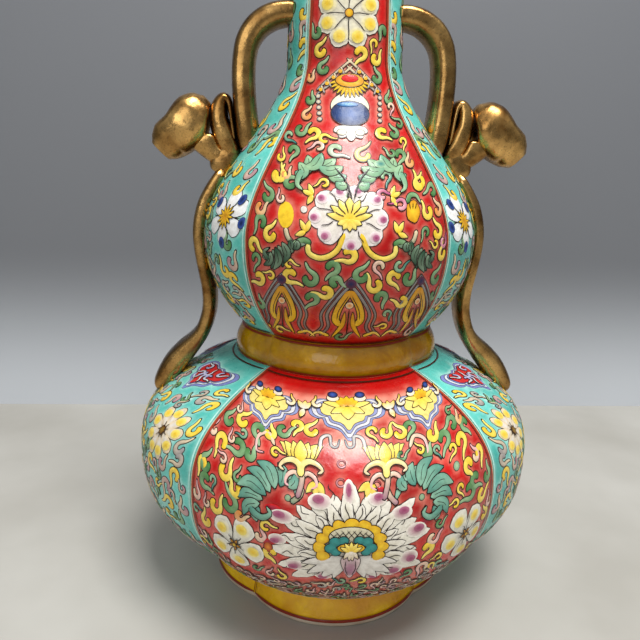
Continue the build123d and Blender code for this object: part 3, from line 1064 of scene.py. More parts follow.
def blossom(panel: Panel, middle: Array, size: float, count: int, turn: float, tone: Tone) -> None:
    """Open flower of broad ruffled petals with a yellow patch near each end, and a small star in the middle.

    Args:
        panel: its panel.
        middle: its middle.
        size: its radius.
        count: number of petals.
        turn: direction of the first, in degrees.
        tone: colours of the patches and of the petals.
    """
    turns = turn + np.arange(count) * 360 / count
    width = 1.42 * size * np.tan(np.pi / count)
    white = Tone(tone.tail, tone.tail)
    for heading in turns:
        round_petal(panel, middle, heading, size, width, white, 0.05)
    for heading in turns:
        outer, inner = toward(heading) * size * 0.66, toward(heading + 5) * size * 0.68
        blush(panel, middle + outer, size * 0.29, size * 0.26, Enamel.PALE_YELLOW, tone.tail, 1)
        blush(panel, middle + inner, size * 0.2, size * 0.18, tone.head, Enamel.PALE_YELLOW, 2)
    rays(panel, middle, turns + 180 / count, size * 0.08, size * 0.7, 0.3, 3)
    rays(panel, middle, turns - 9, size * 0.1, size * 0.42, 0.2, 3)
    star = Tone(Enamel.BROWN, Enamel.DEEP_YELLOW)
    for heading in turns:
        leaf(panel, middle, heading, size * 0.22, size * 0.09, star, 0, 3)
    panel.patch(ring(middle, size * 0.08, size * 0.08, 12), Enamel.YELLOW, Enamel.BROWN, 0.3, 4, 0)


def acanthus(
    panel: Panel, rows: Line, reach: float, width: float, tone: Tone, hand: int
) -> None:
    """Scrolling leaf: fingers that start round inside its curling spine, cross it and end in points outside.

    Each finger is a smooth line through four places, given as shares of its length across and along the spine. Every
    other finger lies over its neighbours.

    Args:
        panel: its panel.
        rows: places of the spine, from the stem to the tip.
        reach: length of the longest finger.
        width: width of a finger.
        tone: colours from the fingers' roots to their points.
        hand: side of the points.
    """
    spine = smooth_line(spots(rows), 44)
    heading = np.gradient(spine, axis=0)
    heading = heading / np.hypot(*heading.T)[:, None]
    outward = -hand * np.stack([-heading[:, 1], heading[:, 0]], -1)
    panel.stroke(spine, width * 0.9, tone, Cut.LEAF, 0.4)
    for number, at in enumerate(range(33, 4, -4)):
        swell = (0.5, 0.72, 0.9, 1.0, 1.0, 0.9, 0.7, 0.42)[number]
        coat = 1 + 1.3 * (number % 2)
        length = reach * swell
        shares = ((-0.74, 0.1), (-0.26, 0.16), (0.22, 0.36), (0.52, 1.02 if number % 2 else 0.84))
        corners = [spine[at] + outward[at] * length * a + heading[at] * length * b for a, b in shares]
        path = smooth_line(corners, 14)
        finger = tone if number % 3 else tone.turned()
        panel.stroke(path, width * (0.62 + 0.3 * swell), finger, Cut.LEAF, 0.4, coat)
        ink(panel, path[2:10], 0.36, coat + 1)
    panel.stroke(spine[31:], width * 0.5, tone.turned(), Cut.COMMA, 0.4, 3.3)


def lappet(panel: Panel, middle: Array, size: float, bands: Sequence[tuple[Colour, float]]) -> None:
    """Cloud-edged lappet that hangs to a point, painted as nested outlines.

    Args:
        panel: its panel.
        middle: its middle.
        size: half its width.
        bands: colour of each outline and its share of the whole.
    """
    outline = smooth_line(np.array(LAPPET) * size, 60, closed=True)
    for number, (tint, share) in enumerate(bands):
        panel.patch(middle + outline * share + np.array([0, 0.08 * size * (1 - share)]), tint, tint, 0.22, number)


def lotus_head(panel: Panel, middle: Array, size: float, tone: Tone) -> None:
    """Side-on lotus: pointed petals that fan up out of curled bracts, over a forked stem.

    Args:
        panel: its panel.
        middle: the top of the stem.
        size: length of the middle petal.
        tone: colours of a petal from its root to its tip.
    """
    side_petals = ((66, 1.2, 0.42, 0.34), (46, 1.14, 0.48, 0.14), (22, 1.0, 0.5, 0.04))
    for level, (turn, reach, wide, bend) in enumerate(side_petals):
        for hand in (1, -1):
            leaf(panel, middle, 90 + hand * turn, size * reach, size * wide, tone, -hand * bend, 1.3 * level)
    leaf(panel, middle, 90, size, size * 0.52, tone, 0, 3.9)
    upper = ((0.03, -0.5), (0.05, -0.08), (0.34, 0.12), (0.7, 0.02), (0.9, -0.22), (0.72, -0.34))
    lower = ((0, -0.6), (0.26, -0.36), (0.56, -0.5), (0.66, -0.82), (0.42, -0.96))
    stem = ((0.02, -0.1), (0.06, -0.5), (0.0, -0.9), (-0.14, -1.35))
    bract = Tone(Enamel.PALE_YELLOW, Enamel.CREAM)
    for hand in (-1, 1):
        for rows, count, wide, tint, coat in ((upper, 24, 0.24, bract, 4.4), (lower, 22, 0.17, CREAMS, 2)):
            path = smooth_line(middle + np.array(rows) * np.array([hand, 1]) * size, count)
            panel.stroke(path, size * wide, tint, Cut.COMMA, 0.4, coat)
    stem_tone = Tone(Enamel.CREAM, Enamel.MAUVE)
    panel.stroke(smooth_line(middle + np.array(stem) * size, 16), size * 0.19, stem_tone, Cut.LINE, 0.4, 3)


def filled_gaps(
    panel: Panel,
    tones: Sequence[Tone],
    low: float,
    high: float,
    room: float,
    bare: Sequence[tuple[float, float, float, float]] = (),
) -> None:
    """Adds small comma scrolls where the ground is still open.

    Places are tried on a staggered grid in a fixed order; each takes a scroll where the nearest stroke is far
    enough away.

    Args:
        panel: their panel.
        tones: colours, taken in turn.
        low: lowest height.
        high: greatest height.
        room: least distance to what is painted and to the creases.
        bare: ovals to leave open, as s, height, half width and half height.
    """
    taken = np.vstack(panel.halo)[:, :2]
    number = 0
    for row, t in enumerate(np.arange(run_of(low), run_of(high), 2.1)):
        z = float(height_of(t))
        reach = float(FORM.half_width(z)) - room - 3
        for s in np.arange(-reach + 0.9 * (row % 3), reach, 2.7):
            if any(((s - a) / c) ** 2 + ((z - b) / d) ** 2 < 1 for a, b, c, d in bare):
                continue
            gap = np.hypot(*(taken - (s, t)).T).min()
            if gap < room:
                continue
            size = min(gap, 5.4) * 0.66
            turn = (37 * number + 23 * row) % 360
            hand = 1 if number % 2 else -1
            curl(panel, np.array([s, t]), size, turn, hand, tones[number % len(tones)], min(2.2, 0.55 * size))
            taken = np.vstack([taken, panel.halo[-1][:, :2]])
            number += 1


def scatter(panel: Panel, tone: Tone, width: float, *rows: Scroll) -> None:
    """Comma scrolls from rows of s, height, size, tail direction and winding."""
    for s, z, size, turn, hand in rows:
        curl(panel, spot(s, z), size, turn, hand, tone, width)


def both_ways(panel: Panel, tone: Tone, width: float, *rows: Scroll) -> None:
    """Comma scrolls and their mirror images across the crown."""
    scatter(panel, tone, width, *rows)
    scatter(panel, tone, width, *((-s, z, size, 180 - turn, -hand) for s, z, size, turn, hand in rows))


def seam_stroke(
    panel: Panel, low: float, high: float, inset: float, width: float, tint: Colour, halo: float = 0.0
) -> None:
    """Raised line along both creases.

    Args:
        panel: its panel.
        low: height of its lower end.
        high: height of its upper end.
        inset: its distance from the crease.
        width: its width.
        tint: its colour.
        halo: strength of the pale ring that it leaves in the ground.
    """
    z = np.linspace(low, high, 70)
    for hand in (-1, 1):
        path = np.column_stack([hand * (FORM.half_width(z) - inset), run_of(z)])
        panel.stroke(path, width, Tone(tint, tint), Cut.LINE, 0, 0, halo)


def border_lines(panel: Panel) -> None:
    """Lines round the foot, the bulbs' ends and the waist band, and up the foot's creases."""
    brown, rust = linear(70, 26, 12), linear(140, 44, 20)
    rings = (
        (3.6, 1.5, rust), (16.4, 0.9, brown), (18.6, 0.8, Enamel.CREAM_LINE), (19.8, 0.9, brown), (126.0, 0.9, brown),
        (128.3, 1.1, rust), (141.7, 1.1, rust), (143.9, 0.9, brown), (337, 1.0, rust),
    )
    for z, width, tint in rings:
        reach = float(FORM.half_width(z))
        path = np.column_stack([np.linspace(-reach, reach, 60), np.full(60, float(run_of(z)))])
        panel.stroke(path, width, Tone(tint, tint), Cut.LINE, 0, 0, 0)
    seam_stroke(panel, 2.6, 16.6, 0.4, 1.2, rust)


@dataclass(frozen=True)
class GreatLotus:
    """The large flower low on the front: ragged white petals, some blushed with magenta, round a yellow throne."""

    height: float = 68.0
    share: float = 0.88
    rise: float = 1.6
    white: Tone = Tone(linear(226, 220, 202), linear(240, 234, 220))
    brass: Colour = linear(222, 170, 34)

    def petals(self, panel: Panel) -> None:
        """Two rounds of ragged petals, with blushed tips and fine ribs."""
        middle = spot(0, self.height)
        back = (
            (-34, 28), (214, 31), (-18, 36), (198, 34), (-3, 31), (183, 37), (11, 38), (169, 32), (25, 33), (154, 37),
            (39, 37), (139, 32), (54, 29), (124, 33), (72, 31), (107, 28), (90, 32),
        )
        for number, (turn, reach) in enumerate(back):
            round_petal(panel, middle, turn, reach, 9.4, self.white, 0.07, number // 2 % 2)
        tips = (
            (-33, 84, 6.2, 3.4), (-15, 93, 5.6, 3.8), (-1.5, 97, 2.6, 6), (-35, 72, 4.6, 2.8), (24, 87, 5.4, 3.6),
            (12, 94, 4.6, 3.2), (32, 77, 5.6, 4), (29, 62.5, 5, 4.2), (21, 56.5, 5.4, 3.6), (-26, 59, 5, 3.2),
            (11, 54.5, 4, 2.6), (-12, 54.5, 4.6, 2.8),
        )
        for s, z, wide, tall in tips:
            way = 1 if z > 72 else -1
            blush(panel, spot(s, z), wide, tall, linear(168, 96, 122), self.white.tail, 2)
            blush(panel, spot(s * 1.04, z + way), wide * 0.5, tall * 0.5, linear(146, 62, 98), linear(174, 108, 132), 3)
            blush(panel, spot(s * 1.14, z + 3 * way), wide * 0.7, tall * 0.6, linear(150, 44, 66), Enamel.RED, 0)
        front = Tone(linear(206, 198, 172), self.white.tail)
        for number, turn in enumerate(np.arange(-27, 208, 17.6)):
            round_petal(panel, middle, turn, (23, 28, 25)[number % 3], 7.4, front, 0.08, 2)
        rays(panel, middle, np.arange(-36, 220, 8.8), 15, 25, 0.7, 3)
        rays(panel, middle, np.arange(-32, 216, 15.5), 27, 35, 0.9, 1)

    def throne(self, panel: Panel) -> None:
        """Yellow bead ring, hatched cushion and turquoise jewels, with the leaves and the bud under them."""
        gold = Tone(Enamel.YELLOW, self.brass)
        for hand in (-1, 1):
            for turn, reach, wide in ((-22, 20, 5), (-42, 20, 5.6), (-62, 17, 5.2), (-80, 14, 4.6)):
                leaf(panel, spot(hand * 3, 66), turn if hand > 0 else 180 - turn, reach, wide, SNOWS, 0.14 * hand, 3)
            for s, z in ((13, 66.5), (14.6, 71), (13.4, 75.6), (10.4, 79.6), (5.8, 82.4)):
                panel.oval(spot(hand * s, z), 3.1, 2.8, gold, 0.4, 4, 14, 3, 0.08)
        panel.oval(spot(0, 83.4), 3.4, 2.7, gold, 0.4, 4)
        panel.oval(spot(0, 77), 10.2, 5, Tone(linear(196, 190, 162), linear(214, 206, 176)), 0.4, 5, 26)
        for shift in range(-3, 4):
            for hand in (-1, 1):
                rows = sided(hand, [(-2.1, 75.5), (2.1, 80.6 - 0.16 * shift * shift)], shift * 2.7)
                vein(panel, rows, 0.34, 6, 6)
        jewel = Tone(linear(58, 142, 136), linear(40, 120, 116))
        for out, z, size in ((3.6, 75.4, 2.4), (7.4, 74.6, 2.7), (9.4, 71.2, 2.7), (7, 69.4, 2.3)):
            for s in (-out, out):
                panel.oval(spot(s, z), size, size * 0.86, jewel, 0.36, 7)
        panel.oval(spot(0, 71.6), 6.2, 2.4, gold, 0.4, 8, 20)
        for turn in (150, 120, 90, 60, 30):
            leaf(panel, spot(0, 69.4), turn, 5.6, 2, YELLOWS, 0, 9)
        for turn in (236, 262, 278, 304):
            leaf(panel, spot(0, 71), turn, 5.8, 2.1, Tone(Enamel.WHITE, Enamel.CREAM), 0, 9)
        bud = Tone(linear(178, 140, 150), linear(206, 184, 180))
        round_petal(panel, spot(0, 55), 90, 13, 11.6, bud, 0, 8)
        blush(panel, spot(0, 60), 3, 3.6, linear(158, 106, 128), bud.head, 9)
        for s in (-2.4, 2.4):
            vein(panel, [(s * 0.4, 57), (s, 61), (s * 0.9, 65.4)], 0.36, 10, 8)

    def paint(self, panel: Panel) -> None:
        """Paints the flower, then draws it in to its middle and lifts it a little."""
        first, first_halo = len(panel.flat), len(panel.halo)
        self.petals(panel)
        self.throne(panel)
        panel.resized(first, first_halo, spot(0, self.height), self.share, self.rise)


@dataclass
class RedPanel(Panel):
    """Red panel of the front and the back: the lotus scroll of the lower bulb and of the upper bulb and neck."""

    cream: Colour = linear(228, 220, 190)

    def shoulder_collar(self) -> None:
        """Lappets with lotuses and their small scrolls round the top of the lower bulb."""
        bands = (
            (linear(134, 142, 184), 1.0), (linear(206, 204, 206), 0.9), (linear(140, 146, 186), 0.78),
            (linear(226, 206, 120), 0.68),
        )
        for s in np.arange(-45, 46, 6.0):
            self.wash(s, 121.6, 5, 3.4, 1.0)
            self.wash(s, 117, 5, 4, 0.5)
        for s, z, size in ((-38, 118.2, 15.5), (38, 118.2, 15.5), (0, 118.4, 17)):
            lappet(self, spot(s, z), size, bands)
            base = spot(s, z + 1.6)
            for turn, reach, wide in (
                (170, 0.62, 0.2), (10, 0.62, 0.2), (212, 0.5, 0.22), (-32, 0.5, 0.22), (-90, 0.46, 0.34)
            ):
                leaf(self, base, turn, size * reach, size * wide, YELLOWS, 0, 4)
            for turn in (150, 120, 90, 60, 30):
                leaf(self, base, turn, size * 0.34, size * 0.2, GOLDS, 0, 5)
            for hand in (-1, 1):
                ball = base + np.array([hand * size * 0.36, size * 0.26])
                top = ball + np.array([0, size * 0.12])
                self.oval(ball, size * 0.16, size * 0.12, Tone(Enamel.WHITE, Enamel.CREAM), 0.36, 5)
                self.oval(top, size * 0.12, size * 0.105, Tone(Enamel.BLUE, Enamel.NAVY), 0.36, 6)
                curl(self, base + np.array([hand * size * 0.8, size * 0.12]), 2.1, 90, hand, DAISIES, 1.6, 240, 5)
        for hand in (-1, 1):
            for turn, reach in ((100, 5), (60, 5.4), (130, 5.4), (-70, 5)):
                leaf(self, spot(hand * 19.5, 118.6), turn if hand > 0 else 180 - turn, reach, 2.5, DAISIES, 0, 4)
        scatter(
            self, YELLOWS, 2.4, (-16, 114.6, 3.4, 60, -1), (22.5, 113.6, 3.4, 120, 1), (-22.5, 113.4, 3, 250, -1),
            (17, 113.8, 3, 60, 1),
        )
        scatter(self, GREENS, 2.4, (-27, 112.6, 3.4, 30, 1), (28, 112.4, 3.4, 250, -1))

    def lower_scrolls(self) -> None:
        """Comma scrolls at both sides of the lower bulb."""
        scatter(
            self, YELLOWS, 3, (-49.5, 113.4, 3.8, 45, -1), (-35, 112, 2.6, 90, 1), (-62, 102.5, 4.2, 250, 1),
            (-56.5, 97, 4, 60, 1), (-52, 91, 3.2, 120, -1), (-61.5, 81, 4, 60, 1), (40.5, 111.2, 3.4, 60, 1),
            (57, 103.5, 4.2, 260, -1), (59, 95, 3.4, 300, 1), (-34, 63, 3, 300, 1), (35, 64.5, 3, 240, -1),
            (-73, 92, 3.4, 250, 1), (69, 97, 3.4, 270, -1), (71, 82, 3.8, 30, 1), (-70, 71, 3.4, 90, -1),
            (74, 71, 3.2, 120, 1),
        )
        scatter(
            self, GREENS, 3, (-59, 112.5, 3.4, 60, -1), (-41.5, 109.6, 3.6, 280, 1), (-54, 104.5, 4.2, 190, -1),
            (-70, 97, 4, 60, -1), (-54, 86, 4.6, 110, 1), (-68, 87, 3.8, 330, 1), (51, 111.6, 3.8, 200, 1),
            (46, 106.4, 4.2, 250, -1), (63, 108.2, 3.4, 300, 1), (56, 86, 4.4, 200, -1), (64.5, 89, 3.8, 330, 1),
            (74, 91, 3.2, 90, 1), (-44, 104.6, 2.6, 60, 1), (35.5, 106.6, 2.4, 60, 1),
        )
        scatter(
            self, CREAMS, 2.2, (-68, 108, 3, 60, -1), (65, 100.5, 3, 120, 1), (-76, 82, 3.2, 90, 1),
            (39, 71.5, 3.2, 40, 1), (77, 77, 3.2, 100, -1), (-38.5, 74, 2.8, 90, 1),
        )
        scatter(self, ORANGES, 2.7, (60, 112.4, 2.6, 90, -1), (-47, 78.5, 2.6, 20, 1))
        for s, z, size in ((50.5, 98.5, 1.9), (-26.5, 91.5, 1.3), (30.5, 91, 1.3)):
            self.oval(spot(s, z), size, size, Tone(Enamel.PALE_GREEN, Enamel.GREY_GREEN), 0.25, 0, 12)

    def lower_flowers(self) -> None:
        """Lotus heads, acanthus leaves, the great lotus and the white flowers beside it."""
        # pale wash over the belly: partly pale ground, partly a painted highlight
        self.wash(-1, 110.5, 9, 7, 0.9)
        for hand, s in ((-1, -21), (1, 14.5)):
            lotus_head(self, spot(s, 103.6), 10, YELLOWS)
            rows = [(8, 108), (9, 111.6), (12.4, 112.4), (13, 109.8), (15.4, 109.4), (16.6, 111.4)]
            tendril(self, sided(-hand, rows, s), 1.3, Tone(Enamel.WHITE, Enamel.GREY), line=0.36)
            rows = [(12, 108), (15, 111), (20, 109.6), (20.6, 105.6), (17, 105.2)]
            tendril(self, sided(hand, rows, s), 1.7, CREAMS)
            for turn in (-140, -104, -68):
                leaf(self, spot(s - hand * 6.5, 98.6), turn - hand * 8, 6.4, 2.8, YELLOWS, 0, 1)
        tendril(self, [(-20.5, 96), (-21.5, 93), (-25, 90)], 1.9, STEMS, Cut.LINE, coat=1)
        tendril(self, [(14.5, 96), (16, 93), (19, 90)], 1.9, Tone(Enamel.CREAM, Enamel.MAUVE), Cut.LINE, coat=1)
        for s, z in ((-4, 104.5), (-4.6, 98.5), (10.4, 97.6)):
            self.stroke(ring(spot(s, z), 1.6, 1.5, 18), 0.6, Tone(Enamel.BRICK, Enamel.PINK), Cut.LINE, 0.2, 0, 0.5)
        rows = [
            (-22, 91), (-24, 97), (-31, 99.6), (-39, 97), (-43.4, 91), (-43, 84.6), (-38, 81.6), (-34, 84),
            (-35.5, 86.6),
        ]
        acanthus(self, rows, 9, 5.6, WING_GREENS, 1)
        rows = [(18, 91), (21.4, 97), (28.5, 100.4), (36, 98), (40.4, 92), (40, 85.6), (35, 82), (31, 84.4), (32.4, 87)]
        acanthus(self, rows, 9, 5.6, WING_GREENS, -1)
        GreatLotus().paint(self)
        yellow_heart = Tone(Enamel.YELLOW, linear(234, 230, 214))
        blossom(self, spot(-51.5, 64), 14, 5, 62, yellow_heart)
        blossom(self, spot(57, 66.5), 14, 5, 48, yellow_heart)
        self.oval(spot(-35, 68), 2, 2.6, Tone(Enamel.ORANGE, Enamel.BRICK), 0.25)
        self.wash(0, 52, 40, 7, 0.25)

    def upper_flowers(self) -> None:
        """Lotus, leaves and buds of the upper bulb."""
        middle = spot(-1.5, 204)
        white = Tone(linear(222, 214, 200), linear(232, 222, 216))
        self.wash(-1, 217, 5, 4, 0.5)
        petals = (
            (110, 13.5), (72, 14), (147, 16), (32, 16), (184, 17), (-6, 16.5), (220, 15.5), (-39, 16.5), (-87, 14.5)
        )
        for turn, reach in petals:
            round_petal(self, middle, turn, reach, 12.4, white, 0.03)
        for turn, reach in petals:
            tip = middle + toward(turn) * (reach - 2.4)
            blush(self, tip, 2.7, 2.5, linear(196, 132, 158), white.tail, 1)
            blush(self, tip + toward(turn) * 0.5, 1.5, 1.4, linear(146, 54, 96), linear(190, 124, 152), 2)
        heart = middle + np.array([0, -1.5])
        for turn, reach, wide in (
            (12, 9.6, 3.2), (168, 9.6, 3.2), (36, 9.6, 3.4), (144, 9.6, 3.4), (62, 9.4, 3.8), (118, 9.4, 3.8),
            (90, 9.6, 4.6), (-24, 5.4, 3), (204, 5.4, 3), (-58, 5, 2.8), (238, 5, 2.8), (-90, 5, 2.8),
        ):
            leaf(self, heart, turn, reach, wide, YELLOWS, 0, 2)
        rays(self, middle, [91, 128, 52, 166, 13, 202, -23, 247, -63], 7, 14.5, 0.3, 2)
        rays(self, heart, [24, 49, 76, 104, 131, 156], 2.5, 8, 0.1, 4)
        self.patch(ring(spot(-29.5, 203.5), 3.9, 5.8, 20), Enamel.YELLOW, Enamel.YELLOW, 0, 0, 1.6)
        self.oval(spot(28, 206), 3.7, 5, GOLDS.turned(), 0.4, 0, 18, 5, 0.05)
        for shift in (-1.3, 0, 1.3):
            vein(self, [(27.6 + shift, 206.8), (28 + shift * 1.6, 209.4)], 0.45, 1, 5)
        tendril(self, [(24.8, 209.4), (26.5, 212.4), (30, 212.4), (32.4, 209.4)], 2.2, GREENS, coat=1)
        self.oval(spot(-21, 206), 1.5, 1.5, SNOWS, 0.2, 0, 12)
        for hand in (-1, 1):
            rows = [(3.4, 197), (7, 189.5), (13, 186.4), (18.4, 188.2), (19, 192.4)]
            tendril(self, sided(hand, rows), 2.2, YELLOWS, Cut.LINE)
            for turn, reach in ((70, 5.6), (118, 5.6), (200, 5)):
                leaf(self, spot(hand * 20, 197), turn if hand < 0 else 180 - turn, reach, 2.2, YELLOWS)
                leaf(self, spot(hand * 17, 212), (turn + 40) if hand < 0 else 140 - turn, reach, 2.2, YELLOWS)
            rows = [(20, 192), (26, 190.4), (31, 186), (36.5, 184), (40, 187), (37.5, 189)]
            acanthus(self, sided(hand, rows), 6.2, 3.6, DARK_GREENS, hand)
            tendril(self, sided(hand, [(29.5, 198), (28, 194), (24, 190.5)]), 1.9, STEMS, Cut.LINE)
            tendril(self, sided(hand, [(18, 192.2), (21, 193.6), (26, 191.4)]), 2.2, GREENS, Cut.LINE)

    def upper_scrolls(self) -> None:
        """Comma scrolls and pointed palmettes of the upper bulb."""
        scatter(
            self, YELLOWS, 2.7, (-37, 197, 3.6, 60, -1), (-45, 189, 3.6, 330, -1), (-34, 221, 3.6, 60, 1),
            (33, 220, 3.6, 120, -1), (36, 207, 3.4, 120, -1), (43, 199, 3.6, 120, 1), (-3.5, 187.5, 3.6, 200, -1),
            (9.5, 176.5, 3.6, 120, -1), (-25, 176.5, 3.8, 330, 1), (-13, 171, 3.4, 180, -1), (19.5, 176, 3.6, 300, 1),
            (22.5, 166, 3.4, 160, -1), (-46, 174, 3.6, 200, -1), (47.5, 189, 3.2, 90, -1),
        )
        scatter(
            self, GREENS, 2.7, (-44, 198, 3.6, 240, 1), (-40, 213, 3.8, 120, 1), (-26, 217.5, 3.4, 30, -1),
            (39.5, 215, 3.8, 200, 1), (-8.5, 180.5, 3.2, 240, -1), (4.5, 181.5, 3.6, 60, -1),
            (-17.5, 179.5, 3.8, 110, 1), (-17, 166, 3.4, 240, -1), (28, 179, 3.6, 60, 1), (14, 167, 3.2, 280, -1),
            (45, 178, 3.6, 60, -1), (-44, 163, 3, 100, 1), (47, 168, 3, 60, 1), (-5, 176, 2.6, 330, -1),
        )
        scatter(
            self, Tone(Enamel.PINK, Enamel.MAGENTA), 1.8, (49, 193.5, 3, 60, 1), (19.5, 209, 3.2, 180, 1),
            (14.5, 213, 2.6, 0, -1),
        )
        scatter(self, ORANGES, 2.6, (-42, 206, 3.4, 40, 1), (44.5, 208, 3.2, 120, 1))
        grey = Tone(linear(146, 142, 140), linear(120, 110, 104))
        edges = (
            ([(0, 175), (4.6, 169.5), (9.4, 161), (8.6, 154), (12, 148.5)], 1.2, grey, 0.35),
            ([(0, 178.4), (5.6, 171.5), (12, 161), (11.4, 154), (15, 149)], 0.9, grey, 0.35),
            ([(0, 172.4), (4.2, 165), (5.6, 158), (2.6, 154.5)], 3, GOLDS, 0.45),
        )
        for s in (-31, 0, 34):
            self.wash(s, 160, 9, 14, 0.16)
            for hand in (-1, 1):
                for rows, width, tone, line in edges:
                    tendril(self, sided(hand, rows, s), width, tone, Cut.LINE, line)
                vein(self, sided(hand, [(0.8, 170), (4.4, 163), (5, 158)], s), 0.4, 1, 10)
                tendril(self, sided(hand, [(1.7, 162), (2.6, 155), (6.6, 148)], s), 1.9, GOLDS, Cut.LEAF, 0.3, 1)
                tendril(self, sided(hand, [(8, 148.6), (13, 150.4), (16.6, 147.6)], s), 1.8, YELLOWS)
            self.oval(spot(s, 165.5), 1.7, 1.7, Tone(Enamel.ORANGE, Enamel.CREAM), 0.3, 1, 12)
            vein(self, [(s, 163.5), (s, 150)], 0.6, 1, 8)
            blush(self, spot(s, 175.6), 2.4, 2.2, Enamel.NAVY, linear(96, 40, 60), 1)

    def neck_flowers(self) -> None:
        """White flowers of the neck and the scrolls beside them."""
        white = Tone(self.cream, linear(230, 224, 204))
        for z, turn in ((290.5, 112.5), (322, 90)):
            middle = spot(-1, z)
            for step in range(8):
                heading = turn + 45 * step
                round_petal(self, middle, heading, 14.4, 11.6, white, 0.06)
                blush(self, middle + toward(heading) * 9.8, 4, 3.4, Enamel.PALE_YELLOW, self.cream, 1)
                blush(self, middle + toward(heading) * 10.6, 2.7, 2.7, Enamel.YELLOW, Enamel.PALE_YELLOW, 2)
            rays(self, middle, turn + 22.5 + 45 * np.arange(8), 1.4, 11.5, 0.15, 2)
            self.oval(middle, 1.7, 1.7, GOLDS.turned(), 0.35, 3)
        scatter(
            self, YELLOWS, 2.5, (-13.5, 277, 3.2, 60, -1), (4.5, 272, 3.2, 240, -1), (13.5, 273.5, 2.8, 60, 1),
            (-17.5, 236.5, 3.4, 230, -1), (16, 238, 3.2, 330, 1), (-33, 221.5, 3.6, 90, 1), (33, 219, 3.6, 60, -1),
            (-7, 308, 3, 120, 1), (8, 307, 3, 60, -1),
        )
        scatter(
            self, GREENS, 2.4, (-17, 284.5, 2.8, 120, -1), (13.5, 265.5, 2.8, 110, 1), (-12, 269, 3, 60, -1),
            (-21.5, 240, 3.4, 40, 1), (-26.5, 228.5, 3.2, 250, -1), (21, 240.5, 2.8, 120, 1),
            (23.5, 227.5, 3.6, 250, -1), (-18.5, 254.5, 2.4, 80, 1), (20, 256, 2.6, 80, -1), (16, 283, 2.4, 250, 1),
            (-14, 309, 2.8, 60, 1), (14, 313, 2.6, 200, 1),
        )
        scatter(
            self, ORANGES, 2.2, (-20, 247.5, 2.8, 60, -1), (28.5, 228, 2.8, 90, -1), (-29.5, 221, 2.6, 60, 1),
            (-18.5, 264.5, 2.2, 60, 1),
        )

    def neck_canopy(self) -> None:
        """Beaded canopy over a jewel bowl, and the leaves under them."""
        for hand in (-1, 1):
            for shift in (0, 3.2):
                rows = [(-1.2, 271.4 - shift), (7.4, 264.2 - shift), (15.4, 257.4 - shift * 0.6)]
                tendril(self, sided(hand, rows), 0.9, CORDS, Cut.LINE, 0.3)
            for s in (4, 7, 10, 13):
                z = 267.6 - (s - 4) * 0.92
                tendril(self, sided(hand, [(s, z), (s - 1.6, z - 3.4)]), 0.8, CORDS, Cut.LINE, 0.25, 1)
                self.oval(spot(hand * (s + 0.2), z - 2), 0.9, 0.9, Tone(Enamel.ORANGE, Enamel.YELLOW), 0.15, 2, 8)
            for drop in range(5):
                bead = spot(hand * (14.6 - 0.2 * drop), 254.6 - 2.6 * drop)
                self.oval(bead, 1.2, 1.1, CORDS, 0.3, 0, 8)
            rows = [(2.6, 211.5), (6, 218.4), (11, 223.6), (17, 224.4), (22, 221), (24, 216), (21.5, 213.6)]
            acanthus(self, sided(hand, rows), 7.6, 5.2, Tone(Enamel.PALE_GREEN, linear(110, 164, 132)), hand)
            vein(self, sided(hand, [(0.4, 210.5), (3, 218), (7.4, 223)]), 0.7, 4, 10)
        blush(self, spot(12.5, 225), 3, 2, Enamel.TEAL, Enamel.PALE_GREEN, 3)
        self.oval(spot(0, 250), 8.6, 7, Tone(Enamel.WHITE, self.cream), 0.4, 0, 26)
        for turn in np.linspace(196, 344, 13):
            leaf(self, spot(0, 262.6), turn, 9.6, 1.7, GOLDS, 0, 1)
        self.oval(spot(0, 261.4), 6.2, 3.2, GOLDS.turned(), 0.3, 3, 20)
        self.oval(spot(0, 262.2), 3.6, 1.8, Tone(Enamel.RED, Enamel.RED), 0.2, 4, 16)
        self.oval(spot(0, 246.8), 8.4, 6.4, Tone(linear(0, 72, 142), linear(0, 24, 76)), 0.4, 1, 28)
        blush(self, spot(-1.2, 250.6), 4.8, 1.3, linear(96, 156, 196), linear(0, 70, 138), 2)
        for turn in (-158, -128, -90, -52, -22):
            round_petal(self, spot(0, 241.4), turn, 7.6, 4.6, SNOWS, 0.06)
        for s in (-4, 4):
            self.oval(spot(s, 238.4), 2, 1.6, Tone(Enamel.WHITE, self.cream), 0.3, 1, 12)
        # pale wash at the foot of the neck: partly pale ground, partly a painted highlight
        self.wash(0, 227, 8, 6, 0.5)
        self.wash(0, 216, 4, 4, 0.4)
        curl(self, spot(-5, 230), 3.6, 330, 1, Tone(Enamel.PALE_GREEN, Enamel.WHITE), 2.3)
        curl(self, spot(5.4, 231), 4, 60, -1, Tone(Enamel.PALE_YELLOW, Enamel.CREAM), 2.3)

    def paint(self, material: bpy.types.Material) -> HaloMap:
        """Paints the panel and lays it on the front and, turned half round, on the back.

        Args:
            material: the painter's enamel.

        Returns:
            The paleness of its ground.
        """
        for part in (
            self.shoulder_collar,
            self.lower_scrolls,
            self.lower_flowers,
            self.upper_flowers,
            self.upper_scrolls,
            self.neck_flowers,
            self.neck_canopy,
        ):
            part()
        tones = (YELLOWS, GREENS, CREAMS, YELLOWS, LEAF_GREENS)
        filled_gaps(self, tones, 78, 116, 3.4, [(-3, 100, 13, 14), (-26, 84, 8, 7), (26, 84, 8, 7)])
        filled_gaps(self, tones, 54, 78, 3.2)
        filled_gaps(self, (MAUVES, GREYS, GREENS, CREAMS), 25, 54, 2.6)
        filled_gaps(self, tones, 149, 320, 3.5)
        for low, high in PANEL_SPANS:
            seam_stroke(self, low, high, 1.9, 1.5, linear(164, 60, 34), 0.9)
            seam_stroke(self, low, high, 0.7, 0.9, Enamel.CREAM_LINE)
        border_lines(self)
        self.laid_on("front_red_panel_painting", Lobe.FRONT, material)
        self.laid_on("back_red_panel_painting", Lobe.BACK, material)
        return self.halo_map()


